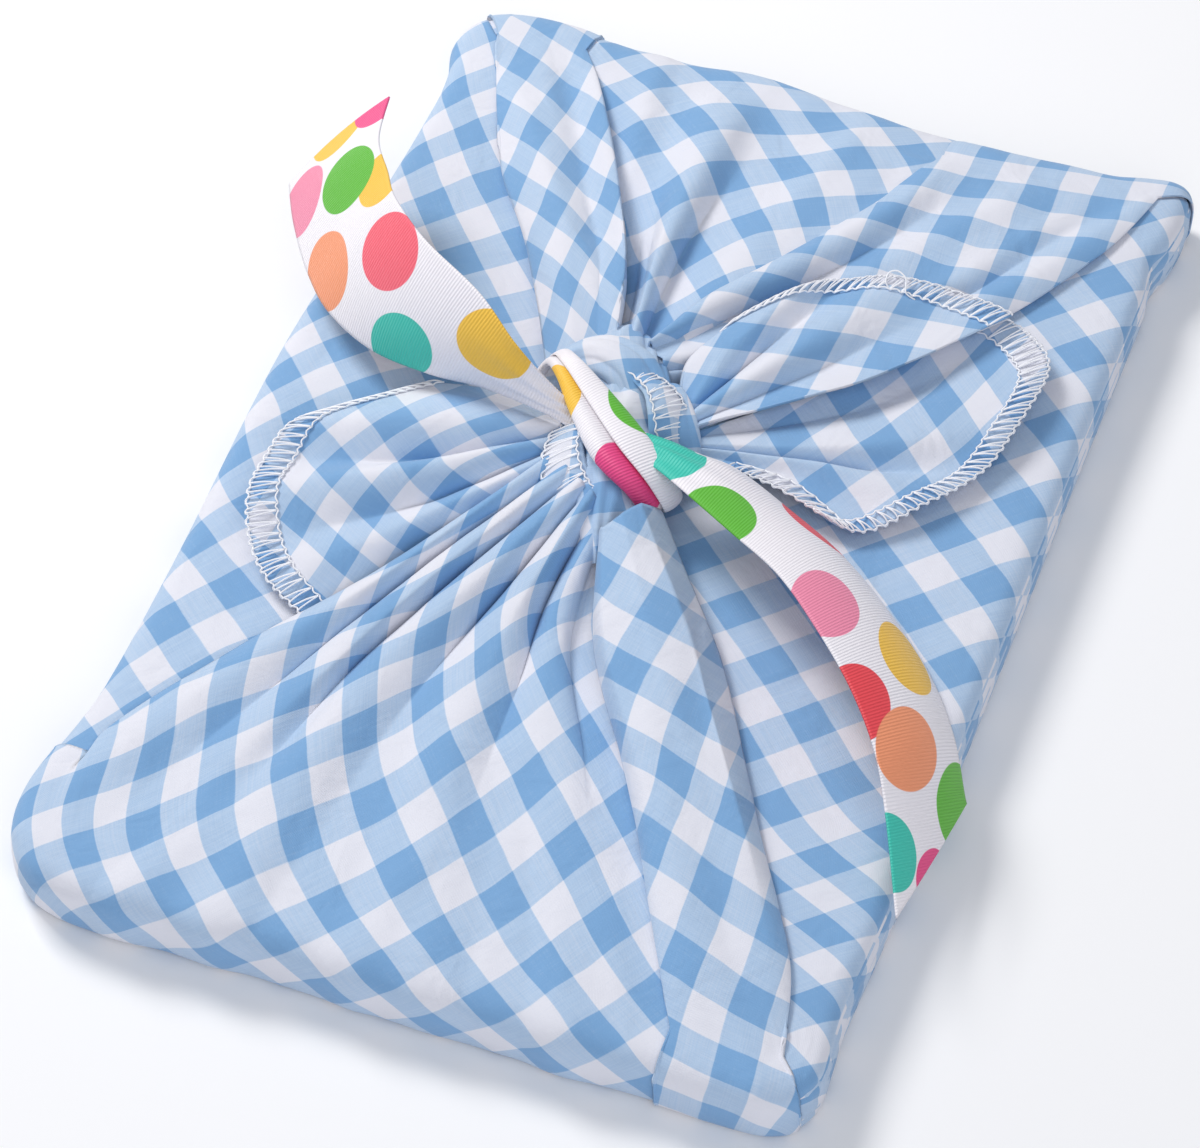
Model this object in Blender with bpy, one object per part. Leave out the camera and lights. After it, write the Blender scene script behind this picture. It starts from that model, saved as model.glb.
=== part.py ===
"""Furoshiki wrap: a square cotton cloth folded round a flat parcel, knotted on top, with a ribbon.

Two pieces: the cloth, one filled solid with its folds, knot and two corner tails, and the grosgrain
ribbon, one solid that goes once round the knot, under it through a slot, and ends in two free tails.

Frame: X along the parcel's short side, Y away along its long side, Z up. The origin is at the middle
of the flat underside. The tables are in millimetres, and a lift is a height above the parcel's top.
"""

import math
from collections import namedtuple

import bmesh
import bpy
from mathutils import Vector

MM = 0.001

PARCEL_WIDTH = 206.0
PARCEL_LENGTH = 314.0
PARCEL_HEIGHT = 18.4
FLAP_BASE = 14.0
TAIL_THICKNESS = 1.6
RIBBON_THICKNESS = 1.2
RIBBON_CLEARANCE = 0.45

OUTLINE_STEPS = 104
OUTLINE_FINE_STEPS = 12
FLAP_STEPS_PER_FOLD = 3
FLAP_STEPS_ALONG = 18
TAIL_STEPS_PER_RIB = 2
TAIL_STEPS_ALONG = 9
RIBBON_STEPS_PER_SECTION = 3
RIBBON_STEPS_ACROSS = 4
KNOT_SIDES = 14
KNOT_STEPS_PER_SECTION = 3

# How far the wrapped sides stand out of the plain rectangle. `place` runs along the side: up the
# left and right sides in Y, and along the far and near sides in X.
SideBulge = namedtuple("SideBulge", "place out")
RIGHT_SIDE = [
    SideBulge(-146, 1.0), SideBulge(-115, -0.5), SideBulge(-60, 0.5), SideBulge(0, 0.5),
    SideBulge(60, 0.0), SideBulge(119, 0.0), SideBulge(130, -1.0), SideBulge(144, 1.5),
]
FAR_SIDE = [
    SideBulge(100, 3.2), SideBulge(86, 1.5), SideBulge(60, -0.5), SideBulge(30, -1.5),
    SideBulge(4, 0.0), SideBulge(-21, 2.6), SideBulge(-40, 0.5), SideBulge(-60, 0.5),
    SideBulge(-82, 2.5),
]
LEFT_SIDE = [
    SideBulge(148, 2.0), SideBulge(126, 0.0), SideBulge(90, 0.0), SideBulge(35, 2.0),
    SideBulge(0, 2.0), SideBulge(-56, 0.0), SideBulge(-100, -0.5), SideBulge(-136, 1.5),
]
NEAR_SIDE = [
    SideBulge(-84, 0.5), SideBulge(-40, 1.5), SideBulge(10, 1.2), SideBulge(57, 0.5),
    SideBulge(92, -0.5),
]

# The wrapped side from the floor up: each ring's height and how far it lies inside the outline.
SideRing = namedtuple("SideRing", "z inset")
SIDE_RINGS = [
    SideRing(0.0, 3.6), SideRing(0.8, 1.4), SideRing(3.2, 0.3), SideRing(9.0, 0.0),
    SideRing(13.6, 0.5), SideRing(16.4, 2.2), SideRing(17.9, 5.0), SideRing(PARCEL_HEIGHT, 10.0),
]

# One row for each fold of a flap, from the parcel's edge to the neck of the knot.
# Each station is x, y and lift.
FoldLine = namedtuple("FoldLine", "name edge outer middle inner neck")
FAR_FLAP = [
    FoldLine("band_hem", (-94, 150, -0.4), (-88, 130, 1.5), (-74, 99, 2.5), (-56, 72, 4), (-32, 36, 9)),
    FoldLine("band_crown", (-82, 150, -0.4), (-73, 128, 3.8), (-59, 97, 5.8), (-42, 70, 8.5), (-25, 39, 14)),
    FoldLine("band_lip", (-68, 150, -0.4), (-56, 128, 4.8), (-39, 96, 8), (-25, 67, 11), (-18, 41, 16)),
    FoldLine("band_gutter", (-61, 150, -0.4), (-50, 130, 1), (-37, 101, 1.6), (-25, 75, 3.2), (-18, 47, 11)),
    FoldLine("left_slope", (-43, 150, -0.4), (-36, 130, 2), (-29, 101, 3), (-22, 74, 5.5), (-17, 47, 13)),
    FoldLine("left_ridge", (-23, 150, -0.4), (-22, 128, 4), (-21, 98, 6.5), (-19, 71, 10), (-15, 45, 16)),
    FoldLine("middle_hollow", (-2, 150, -0.4), (-8, 128, 1.8), (-13, 99, 2.8), (-14, 75, 4.5), (-14, 46, 12)),
    FoldLine("middle_slope", (18, 150, -0.4), (10, 128, 1.8), (0, 99, 3), (-8, 72, 5), (-12, 43, 13)),
    FoldLine("soft_ridge", (40, 150, -0.4), (32, 124, 3.2), (21, 99, 5.5), (0, 67, 9), (-10, 40, 15)),
    FoldLine("right_hollow", (59, 150, -0.4), (50, 126, 1.8), (35, 97, 3), (9, 66, 5), (-8, 39, 12)),
    FoldLine("right_slope", (78, 150, -0.4), (67, 128, 1.8), (50, 96, 2.8), (21, 63, 4.5), (-4, 37, 11)),
    FoldLine("right_hem", (94, 150, -0.4), (83, 130, 1.5), (65, 98, 2), (33, 61, 3.5), (-2, 35, 9)),
]
NEAR_FLAP = [
    FoldLine("left_hem", (-96, -118, -0.4), (-92, -112, 1.2), (-74, -82, 1.8), (-49, -47, 3.5), (-22, -9, 10)),
    FoldLine("left_ridge", (-93, -142, -0.4), (-84, -121, 2.8), (-67, -88, 4.5), (-43, -51, 7.5), (-19, -12, 15)),
    FoldLine("left_gutter", (-78, -149, -0.4), (-68, -118, 1), (-54, -82, 1.6), (-37, -42, 3), (-16.5, -13.5, 12)),
    FoldLine("second_ridge", (-66, -149, -0.4), (-58, -115, 2), (-46, -81, 5), (-31, -44, 9), (-14, -15, 16)),
    FoldLine("second_gutter", (-54, -149, -0.4), (-50, -112, 1), (-42, -75, 1.6), (-28, -40, 3), (-11.5, -16.5, 12)),
    FoldLine("third_ridge", (-42, -149, -0.4), (-44, -112, 2), (-35, -74, 4.5), (-21, -45, 9.5), (-9, -18, 16)),
    FoldLine("third_gutter", (-28, -149, -0.4), (-30, -110, 1), (-24, -70, 1.8), (-15, -40, 3.5), (-6.5, -19, 12)),
    FoldLine("fourth_ridge", (-9, -149, -0.4), (-11, -110, 1.8), (-10, -74, 4.5), (-7, -47, 9.5), (-4, -20.5, 16)),
    FoldLine("band_shadow", (19, -149, -0.4), (12, -110, 1), (2, -72, 1.6), (-3, -43, 2), (-2, -22, 11)),
    FoldLine("band_foot", (63, -149, -0.4), (46, -116, 1), (28, -84, 1.4), (8, -51, 3), (0, -23.5, 11)),
    FoldLine("band_lip", (69, -149, -0.4), (55, -120, 5), (39, -86, 9), (18, -56, 13), (3, -24, 18)),
    FoldLine("band_crown", (82, -149, -0.4), (69, -118, 5.5), (53, -85, 10.5), (29, -53, 15), (6.5, -19.5, 20)),
    FoldLine("band_brow", (94, -146, -0.4), (83, -120, 4.4), (66, -90, 9), (42, -50, 14), (9.5, -13, 18)),
    FoldLine("band_hem", (97, -143, -0.4), (85, -119, 0.8), (66, -87, 1), (41, -44, 1.4), (11, -7, 7)),
]

# One row for each rib of a corner tail, from its root in the knot to its hem: x, y and z.
TailRib = namedtuple("TailRib", "name root middle hem")
LEFT_TAIL = [
    TailRib("back_edge", (-22, 10, 29), (-43, 15, 28), (-61, 15, 25)),
    TailRib("back_fold", (-21, 7, 32), (-50, 6, 30), (-80, -3, 26)),
    TailRib("crown", (-20, 4, 33), (-53, -6, 30), (-89, -20, 28)),
    TailRib("dip", (-19, 2, 32), (-53, -18, 27), (-89, -38, 27)),
    TailRib("front_fold", (-18, 0, 32), (-48, -26, 27), (-78, -56, 25)),
    TailRib("front_edge", (-17, -2, 31), (-42, -30, 26), (-64, -63, 23)),
]
RIGHT_TAIL = [
    TailRib("turned_edge", (4, 25, 28), (1, 39, 32), (8, 55, 31)),
    TailRib("back_fold", (6, 24, 29), (10, 48, 33.5), (20, 76, 30.5)),
    TailRib("back_crown", (8, 22, 30), (26, 52, 32), (43, 90, 27)),
    TailRib("back_slope", (9, 21, 30), (36, 55, 32), (62, 92, 26)),
    TailRib("lip", (10, 20, 30), (45, 50, 31), (75, 90, 26)),
    TailRib("crease", (11, 19, 28), (47, 46, 25), (81, 87, 23)),
    TailRib("corner", (12, 18, 28), (52, 40, 24), (88, 74, 24)),
    TailRib("side", (13, 17, 27), (53, 32, 24), (86, 50, 24)),
    TailRib("front_slope", (13, 16, 27), (46, 24, 24), (73, 24, 23)),
    TailRib("point", (13, 15, 26), (39, 18, 24), (60, 9, 22)),
    TailRib("front_edge", (13, 13.5, 26), (33, 13, 26), (52, 8, 24)),
]

# One row for each bulge of the knot along its wrap: the middle of the section, how wide it is
# sideways and how high.
KnotSection = namedtuple("KnotSection", "x y z width height")
KNOT_CORE = [
    KnotSection(-18, 49, 23, 8, 8), KnotSection(-17, 42, 26, 20, 14),
    KnotSection(-14, 32, 27, 27, 20), KnotSection(-11, 20, 28, 31, 21),
    KnotSection(-7, 6, 28, 32, 21), KnotSection(-3, -8, 27, 25, 18),
    KnotSection(0, -20, 26, 15, 13), KnotSection(2, -28, 24, 7, 7),
]
KNOT_HUMP = [
    KnotSection(-29, 21, 22, 8, 8), KnotSection(-25, 25, 31, 11, 8),
    KnotSection(-18, 29, 36.5, 12, 7), KnotSection(-9, 29, 35.5, 12, 7),
    KnotSection(-1, 24, 31, 12, 7), KnotSection(5, 18, 23, 9, 7),
]
KNOT_COLLAR = [
    KnotSection(-4, 30, 24, 6, 5), KnotSection(0, 27, 32, 8, 6),
    KnotSection(6, 20, 31, 9, 6), KnotSection(10, 14, 26, 8, 6), KnotSection(10, 8, 21, 6, 5),
]
KNOT_PATCH = [
    KnotSection(-21, -3, 25, 6, 6), KnotSection(-17, -3, 31, 10, 7),
    KnotSection(-11, -5, 32, 10, 6), KnotSection(-6, -10, 28, 7, 6),
]

# One row for each section of the ribbon: its two selvedges, and how far it bellies out between them.
RibbonSection = namedtuple("RibbonSection", "name low high belly")
RIBBON_TAILS = [
    RibbonSection("left_end", (-124, 67, 25), (-101, 85, 50), 1.5),
    RibbonSection("left_curl", (-117, 54, 25), (-96, 66, 54), 2),
    RibbonSection("left_lean", (-106, 38, 26), (-88, 53, 57), 2),
    RibbonSection("left_flare", (-94, 25, 28), (-81, 42, 60), 2),
    RibbonSection("left_spread", (-78, 16, 29), (-67, 29, 62), 2.5),
    RibbonSection("left_rise", (-60, 12, 31), (-48, 18, 61), 3),
    RibbonSection("left_fan", (-44, 11, 33), (-35, 10, 55), 2),
    RibbonSection("left_pinch", (-27, 7, 36.5), (-25, 8, 45), 0.5),
    RibbonSection("left_tuck", (-19, 4, 40.2), (-18, 10, 41.4), 0),
    RibbonSection("crossing", (-9, 3, 41.2), (-6, 11, 41.4), 0),
    RibbonSection("right_tuck", (4, 1, 40.5), (5, 10, 38.5), 0),
    RibbonSection("right_pinch", (12, -5, 40), (15, 9, 34.5), 1),
    RibbonSection("right_fan", (22, -12, 41.5), (25, 11, 30), 2.5),
    RibbonSection("right_arch", (35, -20, 43.5), (40, 7, 26), 4),
    RibbonSection("right_lean", (50, -29, 44.5), (58, -1, 23), 5),
    RibbonSection("right_slope", (64, -41, 44), (75, -13, 21.5), 5),
    RibbonSection("right_fall", (77, -53, 41), (90, -27, 20.5), 4),
    RibbonSection("right_edge", (87, -66, 37), (102, -42, 18.5), 3),
    RibbonSection("right_end", (99, -85, 29), (109, -53, 14), 1.5),
]
RIBBON_WRAP = [
    RibbonSection("under_middle", (-13, 5, 22.0), (-8, 15, 22.0), 0),
    RibbonSection("under_left", (-27, 13, 22.5), (-23, 22, 22.5), 0),
    RibbonSection("left_foot", (-36, 20, 25), (-32, 29, 25), 0),
    RibbonSection("left_turn", (-35, 21, 33), (-27, 30, 34), 0),
    RibbonSection("left_shoulder", (-26, 13, 39), (-21, 24, 41), 0.5),
    RibbonSection("top_left", (-17, 4, 41.6), (-9, 15, 42), 1),
    RibbonSection("top_right", (-6, -5, 41.2), (3, 5, 41.6), 1),
    RibbonSection("right_shoulder", (4, -10, 36.5), (11, -2, 36.5), 0.5),
    RibbonSection("right_foot", (9, -10, 28), (14, -2, 28), 0),
    RibbonSection("under_right", (3, -4, 22.5), (8, 5, 22.5), 0),
]

COTTON_BLUE = (0.36, 0.55, 0.79, 1.0)
RIBBON_WHITE = (0.86, 0.85, 0.88, 1.0)


def clear_scene():
    """Remove whatever the file holds, so that only the part is left."""
    for old in list(bpy.data.objects):
        bpy.data.objects.remove(old, do_unlink=True)


def make_material(name, colour, roughness):
    """Return a plain Principled material."""
    material = bpy.data.materials.new(name)
    material.use_nodes = True
    shader = material.node_tree.nodes["Principled BSDF"]
    shader.inputs["Base Color"].default_value = colour
    shader.inputs["Roughness"].default_value = roughness
    shader.inputs["Metallic"].default_value = 0.0
    return material


def make_object(name, mesh_data, material):
    """Turn a bmesh into a named object with outward faces and its material."""
    bmesh.ops.recalc_face_normals(mesh_data, faces=mesh_data.faces)
    mesh = bpy.data.meshes.new(name)
    mesh_data.to_mesh(mesh)
    mesh_data.free()
    mesh.materials.append(material)
    item = bpy.data.objects.new(name, mesh)
    bpy.context.scene.collection.objects.link(item)
    return item


def spline_point(points, position, closed=False):
    """Return the point at `position` (in steps between points) on a smooth curve through them."""
    count = len(points)
    start = int(math.floor(position))
    if not closed:
        start = min(start, count - 2)
    t = position - start
    if closed:
        before, here, there, after = (points[(start + k) % count] for k in (-1, 0, 1, 2))
    else:
        before, here, there, after = (points[min(max(start + k, 0), count - 1)] for k in (-1, 0, 1, 2))
    return (
        here
        + (there - before) * (0.5 * t)
        + (before * 2 - here * 5 + there * 4 - after) * (0.5 * t * t)
        + (here * 3 - before - there * 3 + after) * (0.5 * t * t * t)
    )


def smooth_row(points, steps_between, closed=False):
    """Return points on the smooth curve, `steps_between` to each stretch."""
    stretches = len(points) if closed else len(points) - 1
    total = stretches * steps_between
    count = total if closed else total + 1
    return [spline_point(points, step / steps_between, closed) for step in range(count)]


def loft(rows, steps_across, steps_along):
    """Return a grid of points through the rows: `steps_across` from row to row."""
    stretches = len(rows[0]) - 1
    long_rows = []
    positions = [step * stretches / steps_along for step in range(steps_along + 1)]
    for row in rows:
        long_rows.append([spline_point(row, position) for position in positions])
    columns = [smooth_row([row[k] for row in long_rows], steps_across) for k in range(steps_along + 1)]
    return [[column[k] for column in columns] for k in range(len(columns[0]))]


def add_grid(mesh_data, grid):
    """Add the grid's faces and return its vertices, row by row."""
    verts = [[mesh_data.verts.new(point * MM) for point in row] for row in grid]
    for row, next_row in zip(verts, verts[1:]):
        for k in range(len(row) - 1):
            mesh_data.faces.new((row[k], row[k + 1], next_row[k + 1], next_row[k]))
    return verts


def parcel_outline():
    """Return the wrapped parcel's outline, seen from above, as evenly placed points."""
    half_width, half_length = PARCEL_WIDTH / 2, PARCEL_LENGTH / 2
    corners = [Vector((half_width + bulge.out, bulge.place, 0)) for bulge in RIGHT_SIDE]
    corners += [Vector((bulge.place, half_length + bulge.out, 0)) for bulge in FAR_SIDE]
    corners += [Vector((-half_width - bulge.out, bulge.place, 0)) for bulge in LEFT_SIDE]
    corners += [Vector((bulge.place, -half_length - bulge.out, 0)) for bulge in NEAR_SIDE]
    fine = smooth_row(corners, OUTLINE_FINE_STEPS, closed=True)
    lengths = [0.0]
    for here, there in zip(fine, fine[1:] + fine[:1]):
        lengths.append(lengths[-1] + (there - here).length)
    outline = []
    walker = 0
    for step in range(OUTLINE_STEPS):
        wanted = lengths[-1] * step / OUTLINE_STEPS
        while lengths[walker + 1] < wanted:
            walker += 1
        share = (wanted - lengths[walker]) / (lengths[walker + 1] - lengths[walker])
        outline.append(fine[walker].lerp(fine[(walker + 1) % len(fine)], share))
    return outline


def inset_outline(outline, distance):
    """Return the outline moved inwards by `distance`."""
    moved = []
    count = len(outline)
    for k, point in enumerate(outline):
        along = outline[(k + 1) % count] - outline[k - 1]
        inwards = Vector((-along.y, along.x, 0)).normalized()
        moved.append(point + inwards * distance)
    return moved


def make_parcel(material):
    """Build the wrapped body: rounded sides between a flat underside and a flat top."""
    mesh_data = bmesh.new()
    outline = parcel_outline()
    rings = []
    for ring in SIDE_RINGS:
        points = inset_outline(outline, ring.inset)
        rings.append([mesh_data.verts.new((point + Vector((0, 0, ring.z))) * MM) for point in points])
    for ring, next_ring in zip(rings, rings[1:]):
        for k in range(OUTLINE_STEPS):
            after = (k + 1) % OUTLINE_STEPS
            mesh_data.faces.new((ring[k], ring[after], next_ring[after], next_ring[k]))
    mesh_data.faces.new(list(reversed(rings[0])))
    mesh_data.faces.new(rings[-1])
    return make_object("cloth", mesh_data, material)


def make_flap(name, folds, material):
    """Build a gathered flap: its folds on top, and a flat base inside the parcel."""
    rows = []
    for fold in folds:
        stations = (fold.edge, fold.outer, fold.middle, fold.inner, fold.neck)
        rows.append([Vector((x, y, PARCEL_HEIGHT + lift)) for x, y, lift in stations])
    mesh_data = bmesh.new()
    add_grid(mesh_data, loft(rows, FLAP_STEPS_PER_FOLD, FLAP_STEPS_ALONG))
    rim = [edge for edge in mesh_data.edges if edge.is_boundary]
    walls = bmesh.ops.extrude_edge_only(mesh_data, edges=rim)
    lower = [item for item in walls["geom"] if isinstance(item, bmesh.types.BMVert)]
    for vert in lower:
        vert.co.z = FLAP_BASE * MM
    lower_rim = [item for item in walls["geom"] if isinstance(item, bmesh.types.BMEdge) and item.is_boundary]
    bmesh.ops.edgeloop_fill(mesh_data, edges=lower_rim)
    return make_object(name, mesh_data, material)


def make_corner_tail(name, ribs, material):
    """Build a corner of the cloth as a thin sheet that fans out of the knot."""
    rows = [[Vector(rib.root), Vector(rib.middle), Vector(rib.hem)] for rib in ribs]
    mesh_data = bmesh.new()
    add_grid(mesh_data, loft(rows, TAIL_STEPS_PER_RIB, TAIL_STEPS_ALONG))
    tail = make_object(name, mesh_data, material)
    give_thickness(tail, TAIL_THICKNESS)
    return tail


def give_thickness(item, thickness):
    """Thicken a sheet evenly to both sides."""
    solidify = item.modifiers.new("thickness", "SOLIDIFY")
    solidify.thickness = thickness * MM
    solidify.offset = 0.0


def make_knot_part(name, sections, material):
    """Build one bulge of the knot as a closed tube through its sections."""
    rows = smooth_row([Vector(section[:3]) for section in sections], KNOT_STEPS_PER_SECTION)
    sizes = smooth_row([Vector((s.width, s.height, 0)) for s in sections], KNOT_STEPS_PER_SECTION)
    mesh_data = bmesh.new()
    rings = []
    for k, middle in enumerate(rows):
        along = (rows[min(k + 1, len(rows) - 1)] - rows[max(k - 1, 0)]).normalized()
        sideways = along.cross(Vector((0, 0, 1))).normalized()
        upwards = sideways.cross(along).normalized()
        ring = []
        for side in range(KNOT_SIDES):
            turn = 2 * math.pi * side / KNOT_SIDES
            offset = sideways * (0.5 * sizes[k].x * math.cos(turn))
            offset += upwards * (0.5 * sizes[k].y * math.sin(turn))
            ring.append(mesh_data.verts.new((middle + offset) * MM))
        rings.append(ring)
    for ring, next_ring in zip(rings, rings[1:]):
        for k in range(KNOT_SIDES):
            after = (k + 1) % KNOT_SIDES
            mesh_data.faces.new((ring[k], ring[after], next_ring[after], next_ring[k]))
    mesh_data.faces.new(list(reversed(rings[0])))
    mesh_data.faces.new(rings[-1])
    return make_object(name, mesh_data, material)


def ribbon_grid(sections, closed, spare):
    """Return the ribbon's surface points, with `spare` added to both selvedges."""
    lows = smooth_row([Vector(section.low) for section in sections], RIBBON_STEPS_PER_SECTION, closed)
    highs = smooth_row([Vector(section.high) for section in sections], RIBBON_STEPS_PER_SECTION, closed)
    bellies = smooth_row([Vector((section.belly, 0, 0)) for section in sections],
                         RIBBON_STEPS_PER_SECTION, closed)
    count = len(lows)
    grid = []
    for k in range(count):
        if closed:
            ahead, behind = (k + 1) % count, k - 1
        else:
            ahead, behind = min(k + 1, count - 1), max(k - 1, 0)
        across = (highs[k] - lows[k]).normalized()
        along = (lows[ahead] + highs[ahead]) - (lows[behind] + highs[behind])
        outwards = along.cross(across).normalized()
        row = []
        for step in range(RIBBON_STEPS_ACROSS + 1):
            share = step / RIBBON_STEPS_ACROSS
            point = lows[k].lerp(highs[k], share) + across * (spare * (2 * share - 1))
            row.append(point + outwards * (bellies[k].x * 4 * share * (1 - share)))
        grid.append(row)
    return grid


def make_ribbon_part(name, sections, closed, thickness, spare, material):
    """Build a stretch of the ribbon, open for the tails or closed for the wrap."""
    grid = ribbon_grid(sections, closed, spare)
    mesh_data = bmesh.new()
    verts = add_grid(mesh_data, grid)
    if closed:
        first, last = verts[0], verts[-1]
        for k in range(len(first) - 1):
            mesh_data.faces.new((last[k], last[k + 1], first[k + 1], first[k]))
    part = make_object(name, mesh_data, material)
    give_thickness(part, thickness)
    return part


def combine(item, helpers, operation):
    """Join the helpers to an object, or cut them out of it, and hide the helpers."""
    for helper in helpers:
        boolean = item.modifiers.new(helper.name, "BOOLEAN")
        boolean.operation = operation
        boolean.solver = "EXACT"
        boolean.object = helper
        helper.hide_render = True
        helper.display_type = "WIRE"


def build():
    """Build the cloth and the ribbon."""
    clear_scene()
    cotton = make_material("gingham_cotton", COTTON_BLUE, 0.9)
    grosgrain = make_material("grosgrain_ribbon", RIBBON_WHITE, 0.6)

    cloth = make_parcel(cotton)
    pieces = [
        make_flap("far_flap", FAR_FLAP, cotton),
        make_flap("near_flap", NEAR_FLAP, cotton),
        make_knot_part("knot_core", KNOT_CORE, cotton),
        make_knot_part("knot_hump", KNOT_HUMP, cotton),
        make_knot_part("knot_collar", KNOT_COLLAR, cotton),
        make_knot_part("knot_patch", KNOT_PATCH, cotton),
        make_corner_tail("left_tail", LEFT_TAIL, cotton),
        make_corner_tail("right_tail", RIGHT_TAIL, cotton),
    ]
    combine(cloth, pieces, "UNION")

    ribbon = make_ribbon_part("ribbon", RIBBON_TAILS, False, RIBBON_THICKNESS, 0.0, grosgrain)
    wrap = make_ribbon_part("ribbon_wrap", RIBBON_WRAP, True, RIBBON_THICKNESS, 0.0, grosgrain)
    combine(ribbon, [wrap], "UNION")

    room = RIBBON_THICKNESS + 2 * RIBBON_CLEARANCE
    cutters = [
        make_ribbon_part("tails_room", RIBBON_TAILS, False, room, RIBBON_CLEARANCE, cotton),
        make_ribbon_part("wrap_room", RIBBON_WRAP, True, room, RIBBON_CLEARANCE, cotton),
    ]
    combine(cloth, cutters, "DIFFERENCE")


build()
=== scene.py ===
"""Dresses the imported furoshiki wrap: gingham cotton folded round a flat parcel, with a spotted ribbon.

Tables and sizes are in millimetres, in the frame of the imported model. A sheet's UV map is also in
millimetres of flat cloth, so a pattern keeps its real size and runs with the threads.
"""

import logging
import math
from dataclasses import dataclass, field
from enum import Enum
from typing import Any, Dict, List, NamedTuple, Optional, Sequence, Tuple, Union

import bmesh
import bpy
import numpy as np
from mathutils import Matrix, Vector, noise


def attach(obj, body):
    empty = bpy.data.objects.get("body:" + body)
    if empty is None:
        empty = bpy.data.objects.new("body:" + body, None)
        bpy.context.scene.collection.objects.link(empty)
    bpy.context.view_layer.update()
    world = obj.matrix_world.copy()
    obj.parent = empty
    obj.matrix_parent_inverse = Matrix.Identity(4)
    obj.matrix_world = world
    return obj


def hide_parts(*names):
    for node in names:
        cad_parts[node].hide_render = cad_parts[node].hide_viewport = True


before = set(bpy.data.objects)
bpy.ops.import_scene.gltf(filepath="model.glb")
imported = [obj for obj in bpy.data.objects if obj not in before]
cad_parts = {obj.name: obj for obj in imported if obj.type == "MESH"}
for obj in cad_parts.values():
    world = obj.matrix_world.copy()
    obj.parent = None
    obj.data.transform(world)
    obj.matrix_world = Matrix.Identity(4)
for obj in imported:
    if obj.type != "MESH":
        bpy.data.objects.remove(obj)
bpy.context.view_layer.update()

LOG = logging.getLogger("furoshiki")
MM = 0.001
CHECK_REPEAT = 20.0
TOP = 18.4
CHART_PLANE = 20.0
LEAN_X, LEAN_Y = 0.2894, 0.757
FLOOR_LEVEL = 0.45
FOLD_CLEARANCE = 0.35
PHOTO_WIDTH, PHOTO_HEIGHT = 1200, 1148
SENSOR_WIDTH = 36.0
CAMERA_LENS = 131.35
CAMERA_EYE = (0.25127709, -0.67812171, 0.8809536)
CAMERA_FORWARD = (-0.22488636, 0.58824965, -0.77678084)
CAMERA_RIGHT = (0.93406911, 0.35709227, 0.0)
CAMERA_UPWARD = (-0.27738244, 0.72556699, 0.62977101)


class FoldKind(Enum):
    """How the cloth passes a fold line."""

    RIDGE = "rounded top"
    GUTTER = "sharp valley"
    PLAIN = "even slope"


class SideBulge(NamedTuple):
    """How far a wrapped side stands out of the plain rectangle at one place along it."""

    place: float
    out: float


class SideRing(NamedTuple):
    """One height on the wrapped side, and how far it lies inside the outline."""

    z: float
    inset: float


class Fold(NamedTuple):
    """One fold of a flap from the parcel's rim to the neck; a station is x, y and lift."""

    name: str
    kind: FoldKind
    rim: Tuple[float, float]
    outer: Tuple[float, float, float]
    middle: Tuple[float, float, float]
    inner: Tuple[float, float, float]
    neck: Tuple[float, float, float]


class Crease(NamedTuple):
    """A soft ridge, or a trough where its height is negative, laid along a line.

    Its two ends are pixels of the 1200 x 1148 photograph, and its level, height and width are in
    millimetres.
    """

    start: Tuple[int, int]
    end: Tuple[int, int]
    level: float
    height: float
    width: float


class Check(NamedTuple):
    """Where a white check's middle lies, seen from the front at 51 degrees on a plane 20 mm up."""

    x: float
    y: float
    column: float
    row: float


class Rib(NamedTuple):
    """One line of a corner tail from its root in the knot to its hem."""

    name: str
    kind: FoldKind
    root: Tuple[float, float, float]
    middle: Tuple[float, float, float]
    hem: Tuple[float, float, float]


class KnotSection(NamedTuple):
    """One section of a bulge of the knot: its middle, and its size sideways and in height."""

    x: float
    y: float
    z: float
    width: float
    height: float


class StripLine(NamedTuple):
    """One line across a narrow hem strip: its edge and its inner side."""

    edge: Tuple[float, float, float]
    inner: Tuple[float, float, float]


class SideSwell(NamedTuple):
    """Where the wrapped side stands further out, softly, than on the plain CAD side."""

    x: float
    y: float
    out: float
    reach: float


class RibbonSection(NamedTuple):
    """One section of the ribbon: its two selvedges, its belly between them and its pleats' depth."""

    name: str
    low: Tuple[float, float, float]
    high: Tuple[float, float, float]
    belly: float
    pleat: float


class Dot(NamedTuple):
    """One printed dot: its middle across and along the ribbon in mm, and its colour."""

    across: float
    along: float
    colour: str


RIGHT_SIDE = [
    SideBulge(-146, 1.0), SideBulge(-115, -0.5), SideBulge(-60, 0.5), SideBulge(0, 0.5),
    SideBulge(60, 0.0), SideBulge(119, 0.0), SideBulge(130, -1.0), SideBulge(144, 1.5),
]
FAR_SIDE = [
    SideBulge(100, 3.2), SideBulge(86, 1.5), SideBulge(60, -0.5), SideBulge(30, -1.5),
    SideBulge(4, 0.0), SideBulge(-21, 2.6), SideBulge(-40, 0.5), SideBulge(-60, 0.5),
    SideBulge(-82, 2.5),
]
LEFT_SIDE = [
    SideBulge(148, 2.0), SideBulge(126, 0.0), SideBulge(90, 0.0), SideBulge(35, 2.0),
    SideBulge(0, 2.0), SideBulge(-56, 0.0), SideBulge(-100, -0.5), SideBulge(-136, 1.5),
]
NEAR_SIDE = [
    SideBulge(-84, 0.5), SideBulge(-40, 1.5), SideBulge(10, 1.2), SideBulge(57, 0.5),
    SideBulge(92, -0.5),
]
SIDE_RINGS = [
    SideRing(0.0, 3.6), SideRing(0.8, 1.4), SideRing(3.2, 0.3), SideRing(9.0, 0.0),
    SideRing(13.6, 0.5), SideRing(16.4, 2.2), SideRing(17.9, 5.0), SideRing(TOP, 10.0),
]

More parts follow.
